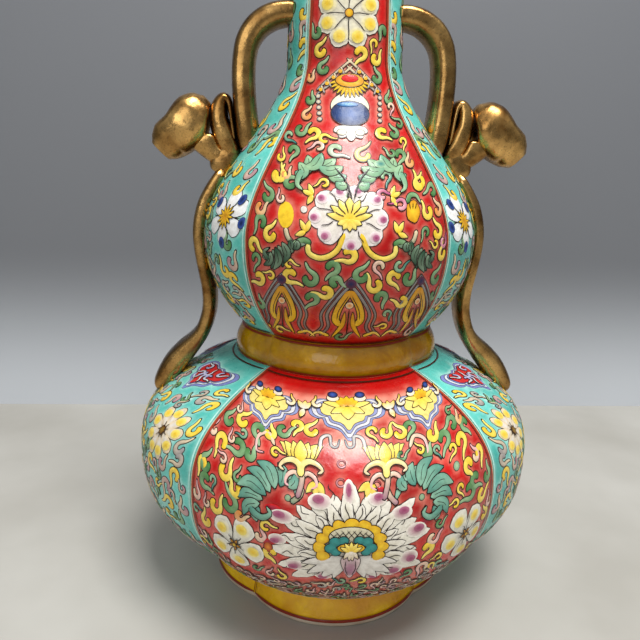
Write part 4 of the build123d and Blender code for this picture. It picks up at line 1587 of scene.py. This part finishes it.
@dataclass
class TurquoisePanel(Panel):
    """Turquoise panel of the right and, mirrored, of the left."""

    def lower(self) -> None:
        """Cloud lappets, daisies and scrolls of the lower bulb."""
        bands = (
            (linear(122, 132, 190), 1.0), (linear(206, 214, 220), 0.86), (linear(122, 132, 190), 0.76),
            (linear(196, 40, 40), 0.7),
        )
        cloud = Tone(linear(150, 150, 196), Enamel.WHITE)
        for hand in (-1, 1):
            middle = spot(hand * 27.5, 119.4)
            lappet(self, middle, 17, bands)
            for turn, reach in ((200, 6), (250, 4.6), (290, 4.6), (340, 6), (90, 1.6), (160, 9.4), (20, 9.4)):
                curl(self, middle + toward(turn) * reach, 2.3, turn, hand, cloud, 1.3, 260, 5)
            flower = spot(hand * 49, 98)
            for heading in range(90, 450, 40):
                round_petal(self, flower, heading, 14.4, 8.2, Tone(Enamel.WHITE, Enamel.CREAM), 0.04)
                blush(self, flower + toward(heading) * 10.4, 3.2, 2.4, Enamel.YELLOW, Enamel.PALE_YELLOW, 1)
            rays(self, flower, np.arange(70, 430, 40), 1.5, 5, 0.1, 2)
            self.oval(flower, 2.3, 2.3, Tone(linear(150, 118, 40), Enamel.BROWN), 0.3, 3, 16, 6, 0.2)
        both_ways(
            self, GREYS, 2.6, (51.5, 113.6, 3.4, 30, -1), (68, 97.5, 4, 60, -1), (14, 108, 3.2, 60, 1),
            (68, 90, 3.4, 200, -1), (30, 100, 3.4, 120, 1),
        )
        both_ways(
            self, YELLOWS, 2.6, (57.5, 111.2, 3.6, 250, 1), (66, 105, 3.8, 120, -1), (69, 80, 4, 250, 1),
            (22, 107, 3.6, 200, 1), (30, 88, 4, 60, -1), (47, 80, 4, 330, 1), (9, 95, 3.8, 90, 1), (60, 66, 4, 200, 1),
            (34, 58, 4, 120, -1), (13, 60, 3.8, 60, 1), (5, 116, 3, 60, 1),
        )
        both_ways(
            self, MAUVES, 2.6, (62, 72.5, 4, 250, 1), (20, 97, 3.8, 60, -1), (37, 76, 3.8, 200, 1),
            (59, 86, 3.4, 60, 1), (74, 69, 3.4, 90, -1), (46, 66, 3.8, 300, 1), (23, 67, 3.6, 90, 1),
            (50, 54, 4, 60, -1), (34, 108, 3, 250, 1),
        )
        both_ways(
            self, GREENS, 2.6, (9, 84, 3.4, 90, 1), (22, 80, 3.4, 40, -1), (68, 61, 3.6, 60, 1), (40, 50, 3.6, 90, -1),
            (16, 52, 3.6, 20, 1), (40, 89, 3, 60, 1),
        )
        daisy = spot(0, 73)
        for heading in range(90, 450, 45):
            leaf(self, daisy, heading, 13, 7, DAISIES)
            rib = daisy + toward(heading) * 4.4
            leaf(self, rib, heading, 7.6, 2.6, Tone(Enamel.MAGENTA, Enamel.PINK), 0, 1)
        self.oval(daisy, 2.4, 2.4, Tone(Enamel.YELLOW, Enamel.BROWN), 0.3, 3, 16, 6, 0.2)

    def upper(self) -> None:
        """Scroll chains and flowers of the upper bulb and neck."""
        white = Tone(linear(240, 238, 234), linear(230, 232, 232))
        for hand in (-1, 1):
            middle = spot(hand * 38, 200)
            for heading in range(30, 390, 60):
                round_petal(self, middle, heading, 13, 10.5, white, 0.03)
            rays(self, middle, range(0, 360, 60), 2, 10.5, 0.2, 1)
            for turn in range(0, 360, 30):
                leaf(self, middle, turn, 5.6, 1.3, GOLDS, 0, 2)
            for s, z in ((44.5, 208), (50.5, 198), (38, 188), (28, 206)):
                self.oval(spot(hand * s, z), 2.1, 2.6, Tone(Enamel.NAVY, Enamel.BLUE), 0.2, 2)
        both_ways(
            self, YELLOWS, 2.5, (18.5, 294, 3.4, 70, 1), (18.5, 276, 3.6, 240, -1), (20.5, 253.5, 3.6, 60, -1),
            (32, 232, 3.8, 250, 1), (37.5, 213.5, 3, 60, 1), (36, 177, 3.8, 100, -1), (42, 169.5, 3.4, 300, 1),
            (8, 246, 3.4, 80, 1), (10, 222, 3.6, 60, 1), (14, 200, 3.6, 200, -1), (12, 176, 3.8, 60, 1),
            (28, 162, 3.4, 100, 1), (10, 308, 3, 60, 1), (16, 152, 3, 90, 1), (24, 222, 3.2, 120, -1),
        )
        both_ways(
            self, MAUVES, 2.5, (18.5, 284.5, 3.2, 250, 1), (20, 262.5, 3.4, 60, -1), (26, 243, 3.8, 90, 1),
            (36.5, 222, 3.6, 100, -1), (45, 181, 3.8, 60, 1), (45, 163, 3.2, 120, -1), (7, 262, 3.2, 100, 1),
            (10, 234, 3.4, 60, -1), (25, 212, 3.4, 100, 1), (14, 188, 3.6, 90, 1), (24, 172, 3.6, 60, -1),
            (8, 286, 3, 80, 1), (14, 317, 3, 90, -1), (34, 153, 3, 60, 1),
        )
        both_ways(
            self, GREENS, 2.5, (8, 274, 3, 90, 1), (12, 211, 3.2, 90, -1), (24, 184, 3.4, 30, 1),
            (20, 162, 3.2, 100, 1), (42, 190, 3, 90, -1), (22, 233, 3, 60, 1), (8, 298, 3, 100, -1),
            (20, 269, 2.8, 60, 1), (29, 237, 2.8, 200, 1),
        )

    def paint(self, material: bpy.types.Material) -> HaloMap:
        """Paints the panel and lays it on the right and, mirrored, on the left.

        Args:
            material: the painter's enamel.

        Returns:
            The paleness of its ground.
        """
        self.lower()
        self.upper()
        tones = (YELLOWS, MAUVES, GREENS, GREYS)
        for low, high, room in ((30, 122, 3.6), (149, 212, 3.6), (212, 330, 5.2)):
            filled_gaps(self, tones, low, high, room)
        for low, high in PANEL_SPANS:
            seam_stroke(self, low, high, 1.0, 1.1, Enamel.AQUA, 1.6)
        border_lines(self)
        self.laid_on("right_turquoise_panel_painting", Lobe.RIGHT, material)
        self.laid_on("left_turquoise_panel_painting", Lobe.LEFT, material)
        return self.halo_map()


# Body


def outer_rows(low: float, high: float, count: int) -> Array:
    """Rows of height and crown radius of the outer form, whose end rows keep to this side of any step.

    Args:
        low: lowest height.
        high: greatest height.
        count: number of rows.

    Returns:
        The rows, upwards.
    """
    heights = np.linspace(low, high, count)
    return np.column_stack([heights, FORM.radius(np.clip(heights, low + 0.01, high - 0.01))])


@dataclass
class Body:
    """Porcelain of the vase, from the foot to the mouth, each section a closed lobed wall.

    Inner radii are at the lobes' crowns, and the drops and rises are from a bulb's widest ring.
    """

    red: bpy.types.Material
    turquoise: bpy.types.Material
    yellow: bpy.types.Material
    foot: bpy.types.Material
    inside: bpy.types.Material
    bare: bpy.types.Material
    halos: Sequence[HaloMap]
    columns: int = 112
    bare_rim: float = 2.8
    foot_wall: float = 9.0
    underside_radius: float = 40.0
    floor_height: float = 23.0
    floor_radius: float = 30.0
    lower_inside: float = 100.0
    lower_bowl_inside: float = 56.6
    lower_bowl_drop: float = 53.0
    lower_shoulder_rise: float = 46.1
    bore: float = 43.6
    upper_inside: float = 64.8
    upper_bowl_drop: float = 42.3
    neck_wall: float = 5.0
    neck_thinning: float = 0.6
    mouth_wall: float = 4.4
    mouth_opening: float = 0.9

    def wall(
        self,
        name: str,
        outside: Array,
        inside: Array,
        nodes: Sequence[str],
        slot: str,
        materials: Sequence[bpy.types.Material],
        painted: bool = False,
        floor: bool = False,
        bare_below: float = -1.0,
    ) -> None:
        """Builds a closed wall.

        Its rings follow the outside rows upwards and the inside rows down again, each ring the lobed section of its
        row's radius at its height. With a floor the inside ends in one vertex, and so does the underside.

        Args:
            name: the piece's name.
            outside: rows of height and crown radius, upwards.
            inside: rows of height and crown radius, downwards.
            nodes: CAD nodes that it stands for.
            slot: name of its material slot; not used.
            materials: of the front and back lobes, of the side lobes, and of the inside.
            painted: whether it carries the panels' pale grounds.
            floor: whether the inside is closed by a floor.
            bare_below: height under which the third material shows outside too.
        """
        rows = np.vstack([outside, inside])
        z, radius = rows[:, 0], rows[:, 1]
        s = np.linspace(-1, 1, self.columns, endpoint=False)[None] * FORM.half_width(z, radius)[:, None]
        points = np.concatenate([FORM.laid(lobe, s, z[:, None] + 0 * s, radius[:, None]) for lobe in Lobe], 1)
        count, around = points.shape[:2]
        outer = len(outside)
        faces = grid_faces(count, around, wrap_rows=not floor, wrap_columns=True)
        row_of = faces[:, 0] // around
        lobe_of = (faces[:, 0] % around) // self.columns
        material = np.where((row_of < outer - 1) & (z[row_of] >= bare_below), lobe_of % 2, 2)
        halo = np.zeros((count, around))
        if painted:
            up = run_of(np.clip(z[:outer], 0, FORM.height))[:, None]
            across = [s[:outer] * (-1 if lobe == Lobe.LEFT else 1) for lobe in Lobe]
            halo[:outer] = np.hstack([self.halos[lobe % 2].at(across[lobe], up) for lobe in Lobe])
        points, halo, listed = points.reshape(-1, 3), halo.reshape(-1), faces.tolist()
        if floor:
            points, halo = np.vstack([points, [[0, 0, z[0]], [0, 0, z[-1]]]]), np.append(halo, [0, 0])
            listed = capped(faces, count, around)
            material = np.append(material, np.full(2 * around, 2))
        piece = make_piece(name, points, listed, materials, material, {"halo": halo})
        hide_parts(*nodes)

    def build_foot(self) -> None:
        """Builds the yellow foot, with its bare rim."""
        heights = np.linspace(FORM.foot_height, 0, 5)
        inside = FORM.radius(np.clip(heights, 0, FORM.foot_height - 0.01)) - self.foot_wall
        self.wall(
            "foot_ring_glaze",
            outer_rows(0, FORM.foot_height, 18),
            np.column_stack([heights, inside]),
            ["foot_ring"],
            "yellow_glaze",
            [self.foot, self.foot, self.bare],
            bare_below=self.bare_rim,
        )

    def build_lower_bulb(self) -> None:
        """Builds the lower bulb, whose inside is closed by the floor."""
        share = np.linspace(0, 1, 16)
        rise = share[::-1]
        shoulder = swelled(self.bore, self.lower_inside, rise, FORM.lower_shoulder_power)
        bowl = swelled(self.lower_bowl_inside, self.lower_inside, share, FORM.lower_bowl_power)
        inside = np.vstack([
            [[FORM.waist_bottom, self.bore]],
            np.column_stack([FORM.lower_widest + self.lower_shoulder_rise * rise, shoulder]),
            np.column_stack([FORM.lower_widest - self.lower_bowl_drop * share, bowl])[1:],
            [[self.floor_height, self.floor_radius]],
        ])
        underside = [[FORM.foot_height, self.underside_radius]]
        self.wall(
            "lower_bulb_enamel",
            np.vstack([underside, outer_rows(FORM.foot_height, FORM.waist_bottom, 84)]),
            inside,
            ["lower_bulb_bowl", "lower_bulb_shoulder"],
            "enamelled_porcelain",
            [self.red, self.turquoise, self.inside],
            painted=True,
            floor=True,
        )

    def build_waist(self) -> None:
        """Builds the yellow waist band round its straight bore."""
        self.wall(
            "waist_band_glaze",
            outer_rows(FORM.waist_bottom, FORM.waist_top, 20),
            np.array([[FORM.waist_top, self.bore], [FORM.waist_bottom, self.bore]]),
            ["waist_band"],
            "yellow_glaze",
            [self.yellow, self.yellow, self.inside],
        )

    def build_upper_bulb(self) -> None:
        """Builds the upper bulb and the neck in one."""
        share = np.linspace(0, 1, 12)
        bowl = swelled(self.bore, self.upper_inside, share, FORM.upper_bowl_power)
        neck = np.linspace(FORM.mouth_bottom, FORM.upper_widest, 40)
        thinned = self.neck_thinning * eased(neck, FORM.upper_widest, FORM.collar_height)
        inside = np.vstack([
            np.column_stack([neck, FORM.radius(neck) - self.neck_wall + thinned]),
            np.column_stack([FORM.upper_widest - self.upper_bowl_drop * share, bowl])[1:],
            [[FORM.waist_top, self.bore]],
        ])
        self.wall(
            "upper_bulb_enamel",
            outer_rows(FORM.waist_top, FORM.mouth_bottom, 150),
            inside,
            ["upper_bulb_bowl", "upper_bulb_shoulder", "neck"],
            "enamelled_porcelain",
            [self.red, self.turquoise, self.inside],
            painted=True,
        )

    def build_mouth(self) -> None:
        """Builds the yellow mouth, whose inner edge is rounded as its outer edge is, and opens a little."""
        heights = np.linspace(FORM.height, FORM.mouth_bottom, 10)
        rounding = FORM.lip(heights)
        inside = FORM.radius(heights) + FORM.lip_inset * rounding - self.mouth_wall + self.mouth_opening * rounding
        self.wall(
            "mouth_rim_glaze",
            outer_rows(FORM.mouth_bottom, FORM.height, 20),
            np.column_stack([heights, inside]),
            ["mouth_rim"],
            "yellow_glaze",
            [self.yellow] * 3,
        )

    def build(self) -> None:
        """Builds the five walls, from the table up."""
        self.build_foot()
        self.build_lower_bulb()
        self.build_waist()
        self.build_upper_bulb()
        self.build_mouth()


# Handles


@dataclass
class Handle:
    """One gilt ribbon handle: an arch tied to the shoulder by a bow, with a hanging tail. Mirrored for the left.

    A strap's rows are its places x and z, its thickness and its depth.
    """

    side: int
    gilding: bpy.types.Material
    arch_rows: Rows = (
        (22.5, 294.8, 10.8, 19), (30, 294.6, 11.4, 19.6), (37, 292.6, 11.8, 20), (43.2, 288.2, 12, 20),
        (47.4, 281.8, 11.8, 20), (49.2, 274, 11.6, 20), (49.7, 264, 11.6, 20), (49.2, 254, 11.7, 20),
        (48.2, 244, 11.8, 20), (47.2, 236, 11.6, 19), (46.2, 229, 9.6, 17),
    )
    loop_rows: Rows = (
        (53.5, 226.5, 7, 12), (56.4, 231, 10, 15), (59.6, 237.5, 10.6, 16.6), (61.8, 245, 9.8, 16.8),
        (61.4, 251.5, 8, 16), (59.2, 255.2, 5.6, 15), (57, 253.8, 3.4, 14.6), (55.8, 248.5, 2.6, 14.6),
        (54.8, 241, 2.4, 14), (53.8, 234, 2.2, 12),
    )
    stem_rows: Rows = (
        (55.5, 226, 8, 13), (60, 226.6, 9, 14), (65.5, 229, 9.2, 14.4), (70.5, 233, 9.8, 15), (75, 237, 9, 13),
    )
    knot_rows: Rows = (
        (53.5, 230.6, 8, 13), (56.6, 228, 13, 14.4), (59.2, 225, 14.4, 14.4), (61.2, 221.6, 13, 14.2),
        (62.6, 218.8, 8, 12),
    )
    tail_rows: Rows = (
        (58.6, 222, 5.4, 15), (61.6, 217.6, 6.6, 19), (65.4, 211.4, 7.4, 20), (68.8, 205, 7.6, 20),
        (71, 198, 7.6, 20), (72.1, 190, 7.6, 20), (71.6, 181, 7.6, 20), (70, 171, 7.6, 20), (68.2, 161, 7.6, 20),
        (67.8, 152, 7.6, 20), (69, 144.5, 7.7, 20), (71.8, 137, 8, 20), (76, 131, 9.4, 20), (81.4, 125.2, 11.6, 20),
        (87, 118.6, 12.6, 20), (91.6, 112, 11.2, 19.6), (94.6, 107, 9, 18.6), (96.4, 103.4, 6.4, 17),
    )
    bud_profile: Rows = (
        (-1, 0.16), (-0.97, 0.42), (-0.84, 0.7), (-0.5, 0.93), (0, 1), (0.45, 0.9), (0.8, 0.72), (0.93, 0.6),
        (1, 0.42),
    )
    bud_middle: tuple[float, float] = (78.9, 241.4)
    bud_reach: float = 12.2
    bud_half_length: float = 17.2
    bud_squareness: float = 2.7
    bud_dent: float = 2.2
    bud_fold: float = 1.2
    bud_hollow: float = 7.5
    bud_hollow_radius: float = 11.0
    bud_hollow_height: float = 243.5
    knuckle: float = 3.6
    knuckle_place: tuple[float, float] = (67.0, 233.4)
    end_round: float = 0.045

    def finish(self, name: str, points: Array, faces: list[list[int]], tarnish_and_shade: Array) -> None:
        """Makes one gilt piece that stands for the CAD node of its name.

        Args:
            name: the node's name without its side.
            points: vertices of the right handle.
            faces: its faces.
            tarnish_and_shade: how dark each vertex is: a set dulling of the gilt plus painted shade towards the vase
                and in hollows.
        """
        node = f"{'right' if self.side > 0 else 'left'}_{name}"
        turned = faces if self.side > 0 else [face[::-1] for face in faces]
        placed = points * np.array([self.side, 1, 1])
        piece = make_piece(f"{node}_gilt", placed, turned, [self.gilding], floats={"tarnish_and_shade": tarnish_and_shade})
        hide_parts(node)

    def ribbon(self, rows: Rows, count: int, around: int = 40) -> tuple[Array, list[list[int]], Array]:
        """Strap carried along a line in the handle's plane.

        A section is a rounded oval, flatter towards the vase: its depth runs across the plane and its thickness
        along the line's normal. Both ends are rounded off into one vertex.

        Args:
            rows: places x and z, thickness and depth.
            count: rings along it.
            around: vertices of a ring.

        Returns:
            The vertices, the faces and how much each vertex looks towards the vase.
        """
        line = smooth_line(rows, count)
        heading = np.gradient(line[:, :2], axis=0)
        heading = heading / np.hypot(*heading.T)[:, None]
        out = np.stack([heading[:, 1], -heading[:, 0]], -1)
        angle = np.linspace(0, 2 * np.pi, around, endpoint=False)
        up, across = np.sin(angle), np.cos(angle)
        crown = np.where(up > 0, np.abs(up) ** 0.85, -np.abs(up) ** 0.5 * 0.98)
        wide = np.sign(across) * np.abs(across) ** 0.72
        along = np.linspace(0, 1, count)
        from_end = np.minimum(along, 1 - along)
        closing = np.sqrt(np.clip(1 - (1 - from_end / self.end_round) ** 2, 0.05, 1))
        closing = np.where(from_end > self.end_round, 1, closing)
        rise = (line[:, 2] / 2 * closing)[:, None] * crown
        y = (line[:, 3] / 2 * (0.4 + 0.6 * closing))[:, None] * wide
        x, z = (line[:, k, None] + out[:, k, None] * rise for k in (0, 1))
        poles = np.insert(line[[0, -1], :2], 1, 0, axis=1)
        facing = np.append(np.broadcast_to(np.clip(-up, 0, 1) ** 2, (count, around)).reshape(-1), [0.5, 0.5])
        faces = capped(grid_faces(count, around, wrap_columns=True), count, around)
        return np.vstack([np.stack([x, y, z], -1).reshape(-1, 3), poles]), faces, facing

    def arch(self) -> None:
        """Strap from the neck over and down to the shoulder."""
        points, faces, facing = self.ribbon(self.arch_rows, 110)
        # painted shade: darker on the side that faces the vase, over a set dulling
        self.finish("handle_arch", points, faces, 0.25 + 0.6 * facing)

    def loop(self) -> None:
        """Small upright loop of the bow: a fat leaf that folds over, with a thin edge beside the arch."""
        points, faces, facing = self.ribbon(self.loop_rows, 90)
        # painted shade: darker on the side that faces the vase, over a set dulling
        self.finish("upright_loop", points, faces, 0.05 + 0.8 * facing)

    def bud(self) -> None:
        """Big loop of the bow: an egg, squared off, with a flat lower end, a dent on top and a hollow by the arch.

        Its radius along its axis follows the profile, smoothed, and round the axis a squared circle. The dent and
        the fold are bell curves along it, and the hollow eases in from its edge.
        """
        count, around = 60, 64
        along = np.linspace(-1, 1, count)
        angle = np.linspace(0, 2 * np.pi, around, endpoint=False)
        half = np.interp(along, *np.array(self.bud_profile).T)
        half = np.convolve(np.pad(half, 3, mode="edge"), np.ones(7) / 7, "valid")
        power = self.bud_squareness
        square = 1 / (np.abs(np.cos(angle)) ** power + np.abs(np.sin(angle)) ** power) ** (1 / power)
        reach = self.bud_reach * half[:, None] * square[None]
        length = self.bud_half_length * along[:, None] + 0 * reach
        dent = np.exp(-((along[:, None] - 0.1) / 0.3) ** 2) * np.clip(np.sin(angle), 0, 1)[None] ** 3
        rise = reach * np.sin(angle)[None] - self.bud_dent * dent
        side = reach * np.cos(angle)[None]
        diagonal = 1 / np.sqrt(2)
        x = self.bud_middle[0] + diagonal * length + diagonal * rise
        z = self.bud_middle[1] - diagonal * length + diagonal * rise
        inward = self.bud_hollow_radius - np.hypot(side, z - self.bud_hollow_height)
        hollow = eased(inward, 0, self.bud_hollow_radius) * np.clip((74 - x) / 6, 0, 1)
        x = x + self.bud_hollow * hollow
        fold = np.exp(-(((along[:, None] - 0.62) / 0.09) ** 2)) * np.clip(-np.cos(angle), 0, 1)[None] ** 0.5
        grid = np.stack([x, side, z + self.bud_fold * fold], -1)
        points = np.vstack([grid.reshape(-1, 3), grid[0].mean(0), grid[-1].mean(0)])
        # painted shade: the hollow by the arch is darkened towards dull brown
        tarnish_and_shade = np.append((0.95 * np.clip(1.6 * hollow, 0, 1)).reshape(-1), [0.3, 0.3])
        faces = [face[::-1] for face in capped(grid_faces(count, around, wrap_columns=True), count, around)]
        self.finish("bow_bud", points, faces, tarnish_and_shade)

    def stem(self) -> None:
        """Neck of ribbon between the knot and the bud, with a knuckle on top that swells as a bell curve."""
        points, faces, facing = self.ribbon(self.stem_rows, 50)
        x, z = self.knuckle_place
        swell = self.knuckle * np.exp(-((points[:, 0] - x) ** 2 + (points[:, 2] - z) ** 2) / 18)
        points = points + np.stack([-0.5 * swell, 0 * swell, 0.85 * swell], -1)
        self.finish("bow_stem", points, faces, 0.1 + 0 * facing)

    def knot(self) -> None:
        """Turn of ribbon round the bow's middle, drawn in at its groove."""
        points, faces, facing = self.ribbon(self.knot_rows, 40)
        self.finish("knot_wrap", points, faces, 0.2 + 0 * facing)

    def tail(self) -> None:
        """Hanging end: it lies on the upper bulb, hangs past the waist and lands on the lower bulb."""
        points, faces, facing = self.ribbon(self.tail_rows, 130)
        # painted shade: darker on the side that faces the vase, over a set dulling
        self.finish("ribbon_tail", points, faces, 0.15 + 0.6 * facing)

    def build(self) -> None:
        """Builds the six pieces."""
        for make in (self.arch, self.loop, self.bud, self.stem, self.knot, self.tail):
            make()


# Studio


def posed(name: str, data: bpy.types.ID, columns: Sequence[Sequence[float]]) -> bpy.types.Object:
    """Object linked into the scene, from the directions of its three axes and its place."""
    thing = bpy.data.objects.new(name, data)
    bpy.context.scene.collection.objects.link(thing)
    thing.matrix_world = Matrix([[column[k] for column in columns] for k in range(3)] + [[0, 0, 0, 1]])
    return thing


@dataclass(frozen=True)
class Lamp:
    """Square area lamp at a place, turned to what it aims at."""

    name: str
    place: Place
    aim: Place
    size: float
    power: float

    def hang(self) -> None:
        """Builds the lamp."""
        light = bpy.data.lights.new(self.name, "AREA")
        light.size, light.energy = self.size, self.power
        ahead = np.array(self.aim) - np.array(self.place)
        ahead = ahead / np.linalg.norm(ahead)
        side = np.cross(ahead, (0, 0, 1))
        side = side / np.linalg.norm(side)
        posed(self.name, light, (side, np.cross(side, ahead), -ahead, self.place))


@dataclass(frozen=True)
class Studio:
    """Pale table against a plain wall, soft light from above the front, and the photograph's camera."""

    reach: float = 6.0
    wall_back: float = 0.233
    wall_fade: float = 0.15
    # painted light on the wall: a pale pool at its foot and shade at its top
    wall_foot: Colour = linear(196, 200, 205)
    wall_top: Colour = linear(108, 110, 114)
    table_light: Colour = linear(184, 181, 173)
    table_dark: Colour = linear(166, 162, 153)
    key: Lamp = Lamp("key", (0.16, -0.36, 1.2), (0, 0, 0.2), 0.5, 17)
    fill: Lamp = Lamp("fill", (-0.5, -1.3, 0.65), (0, 0, 0.18), 0.8, 4)
    sky: Colour = (0.92, 0.96, 1.0)
    sky_low: float = 0.16
    sky_high: float = 0.6
    lens: float = 35.79
    sensor: float = 36.0
    camera_height: float = 0.2265
    camera_distance: float = 0.3367
    pitch: float = 14.085
    roll: float = 1.465
    yaw: float = -1.505
    turn: float = 4.9

    def surface(self, name: str, corners: Sequence[Place], finish: Finish) -> bpy.types.Object:
        """Makes a flat backdrop.

        Args:
            name: its name.
            corners: its four corners.
            finish: its material.

        Returns:
            The backdrop.
        """
        mesh = bpy.data.meshes.new(name)
        mesh.from_pydata(list(corners), [], [(0, 1, 2, 3)])
        mesh.materials.append(finish.material)
        piece = bpy.data.objects.new(name, mesh)
        bpy.context.scene.collection.objects.link(piece)
        return piece

    def table(self) -> None:
        """Mottled table top."""
        finish = Finish("table_finish", Roughness=0.55)
        cloud = finish.ranged(finish.noise(9, 4), 0.3, 0.7)
        finish.feed("Base Color", finish.blended(cloud, self.table_light, self.table_dark))
        reach = self.reach
        self.surface("table", ((-reach, -reach, 0), (reach, -reach, 0), (reach, reach, 0), (-reach, reach, 0)), finish)

    def wall(self) -> None:
        """Wall with painted light: pale at its foot and shaded darker above; only camera and glossy rays see it, and
        nothing shows from behind.
        """
        finish = Finish("wall_finish", Roughness=0.55)
        height = finish.add("ShaderNodeSeparateXYZ", Vector=finish.place).outputs["Z"]
        # painted light: the ramp runs from the pale lit foot of the wall to its shaded top
        ramp = finish.add("ShaderNodeValToRGB", Fac=height)
        ramp.color_ramp.interpolation = "EASE"
        for stop, at, tint in zip(ramp.color_ramp.elements, (0.0, self.wall_fade), (self.wall_foot, self.wall_top)):
            stop.position, stop.color = at, (*tint, 1.0)
        finish.feed("Base Color", ramp.outputs["Color"])
        choose = finish.add("ShaderNodeMixShader", Fac=finish.add("ShaderNodeNewGeometry").outputs["Backfacing"])
        finish.tree.links.new(finish.shader.outputs["BSDF"], choose.inputs[1])
        finish.tree.links.new(finish.add("ShaderNodeBsdfTransparent").outputs["BSDF"], choose.inputs[2])
        finish.tree.links.new(choose.outputs["Shader"], finish.tree.nodes["Material Output"].inputs["Surface"])
        reach, back = self.reach, self.wall_back
        low = -0.001
        corners = ((-reach, back, low), (reach, back, low), (reach, back, reach), (-reach, back, reach))
        wall = self.surface("wall", corners, finish)
        wall.visible_diffuse = wall.visible_shadow = False

    def sky_light(self) -> None:
        """Even sky, brighter overhead than at the horizon."""
        world = bpy.data.worlds.new("studio_sky")
        world.use_nodes = True
        tree = world.node_tree
        background = tree.nodes["Background"]
        background.inputs["Color"].default_value = (*self.sky, 1)
        place = tree.nodes.new("ShaderNodeTexCoord")
        parts = tree.nodes.new("ShaderNodeSeparateXYZ")
        rise = tree.nodes.new("ShaderNodeMapRange")
        for key, value in (("From Min", 0.0), ("From Max", 0.9), ("To Min", self.sky_low), ("To Max", self.sky_high)):
            rise.inputs[key].default_value = value
        tree.links.new(place.outputs["Generated"], parts.inputs["Vector"])
        tree.links.new(parts.outputs["Z"], rise.inputs["Value"])
        tree.links.new(rise.outputs["Result"], background.inputs["Strength"])
        bpy.context.scene.world = world

    def camera(self) -> None:
        """Camera from the fitted distance, height, pitch, roll and yaw, turned round the vase."""
        pitch, roll, yaw, turn = (np.radians(v) for v in (self.pitch, self.roll, self.yaw, self.turn))
        right = np.array([np.cos(yaw), -np.sin(yaw), 0])
        level = np.array([np.sin(yaw), np.cos(yaw), 0])
        up_axis = np.array([0, 0, 1.0])
        forward = np.cos(pitch) * level - np.sin(pitch) * up_axis
        upward = np.sin(pitch) * level + np.cos(pitch) * up_axis
        image_x = np.cos(roll) * right + np.sin(roll) * upward
        image_y = -np.sin(roll) * right + np.cos(roll) * upward
        place = np.array([0, -self.camera_distance, self.camera_height])
        c, s = np.cos(turn), np.sin(turn)
        turned = np.array([[c, s, 0], [-s, c, 0], [0, 0, 1]])
        data = bpy.data.cameras.new("photograph_camera")
        data.lens, data.sensor_width, data.clip_start = self.lens, self.sensor, 0.01
        columns = [turned @ v for v in (image_x, image_y, -forward, place)]
        bpy.context.scene.camera = posed("photograph_camera", data, columns)

    def build(self) -> None:
        """Sets the table, the wall, the lamps, the sky, the camera and the view."""
        self.table()
        self.wall()
        self.key.hang()
        self.fill.hang()
        self.sky_light()
        self.camera()
        bpy.context.scene.view_settings.view_transform = "Standard"


def main() -> None:
    """Builds the sub-assemblies in order."""
    logging.basicConfig(level=logging.INFO, format="%(message)s")
    enamel = PaintedEnamel().make()
    halos = [RedPanel().paint(enamel), TurquoisePanel().paint(enamel)]
    red, pink = linear(206, 18, 16), linear(236, 160, 136)
    turquoise, foam = linear(104, 204, 190), linear(206, 238, 226)
    Body(
        red=GroundEnamel("red_ground_enamel", red, linear(150, 6, 8), pink).make(),
        turquoise=GroundEnamel("turquoise_ground_enamel", turquoise, linear(56, 150, 140), foam).make(),
        # painted light: the yellow is the glaze's own, and its extra paleness over the waist's copy stands in for light
        # on the foot
        foot=TransparentGlaze("lit_foot_yellow_glaze", linear(248, 200, 6), linear(216, 150, 2)).make(),
        yellow=TransparentGlaze("yellow_glaze", linear(200, 152, 4), linear(140, 92, 2)).make(),
        inside=PlainCeramic("white_glaze", linear(226, 224, 214), linear(206, 204, 192), 0.8).make(),
        bare=PlainCeramic("bare_foot_rim", linear(206, 190, 168), linear(172, 150, 124), 0.1).make(),
        halos=halos,
    ).build()
    gilding = WornGilding().make()
    for side in (1, -1):
        Handle(side, gilding).build()
    Studio().build()
    LOG.info("size written")


if __name__ == "__main__":
    main()
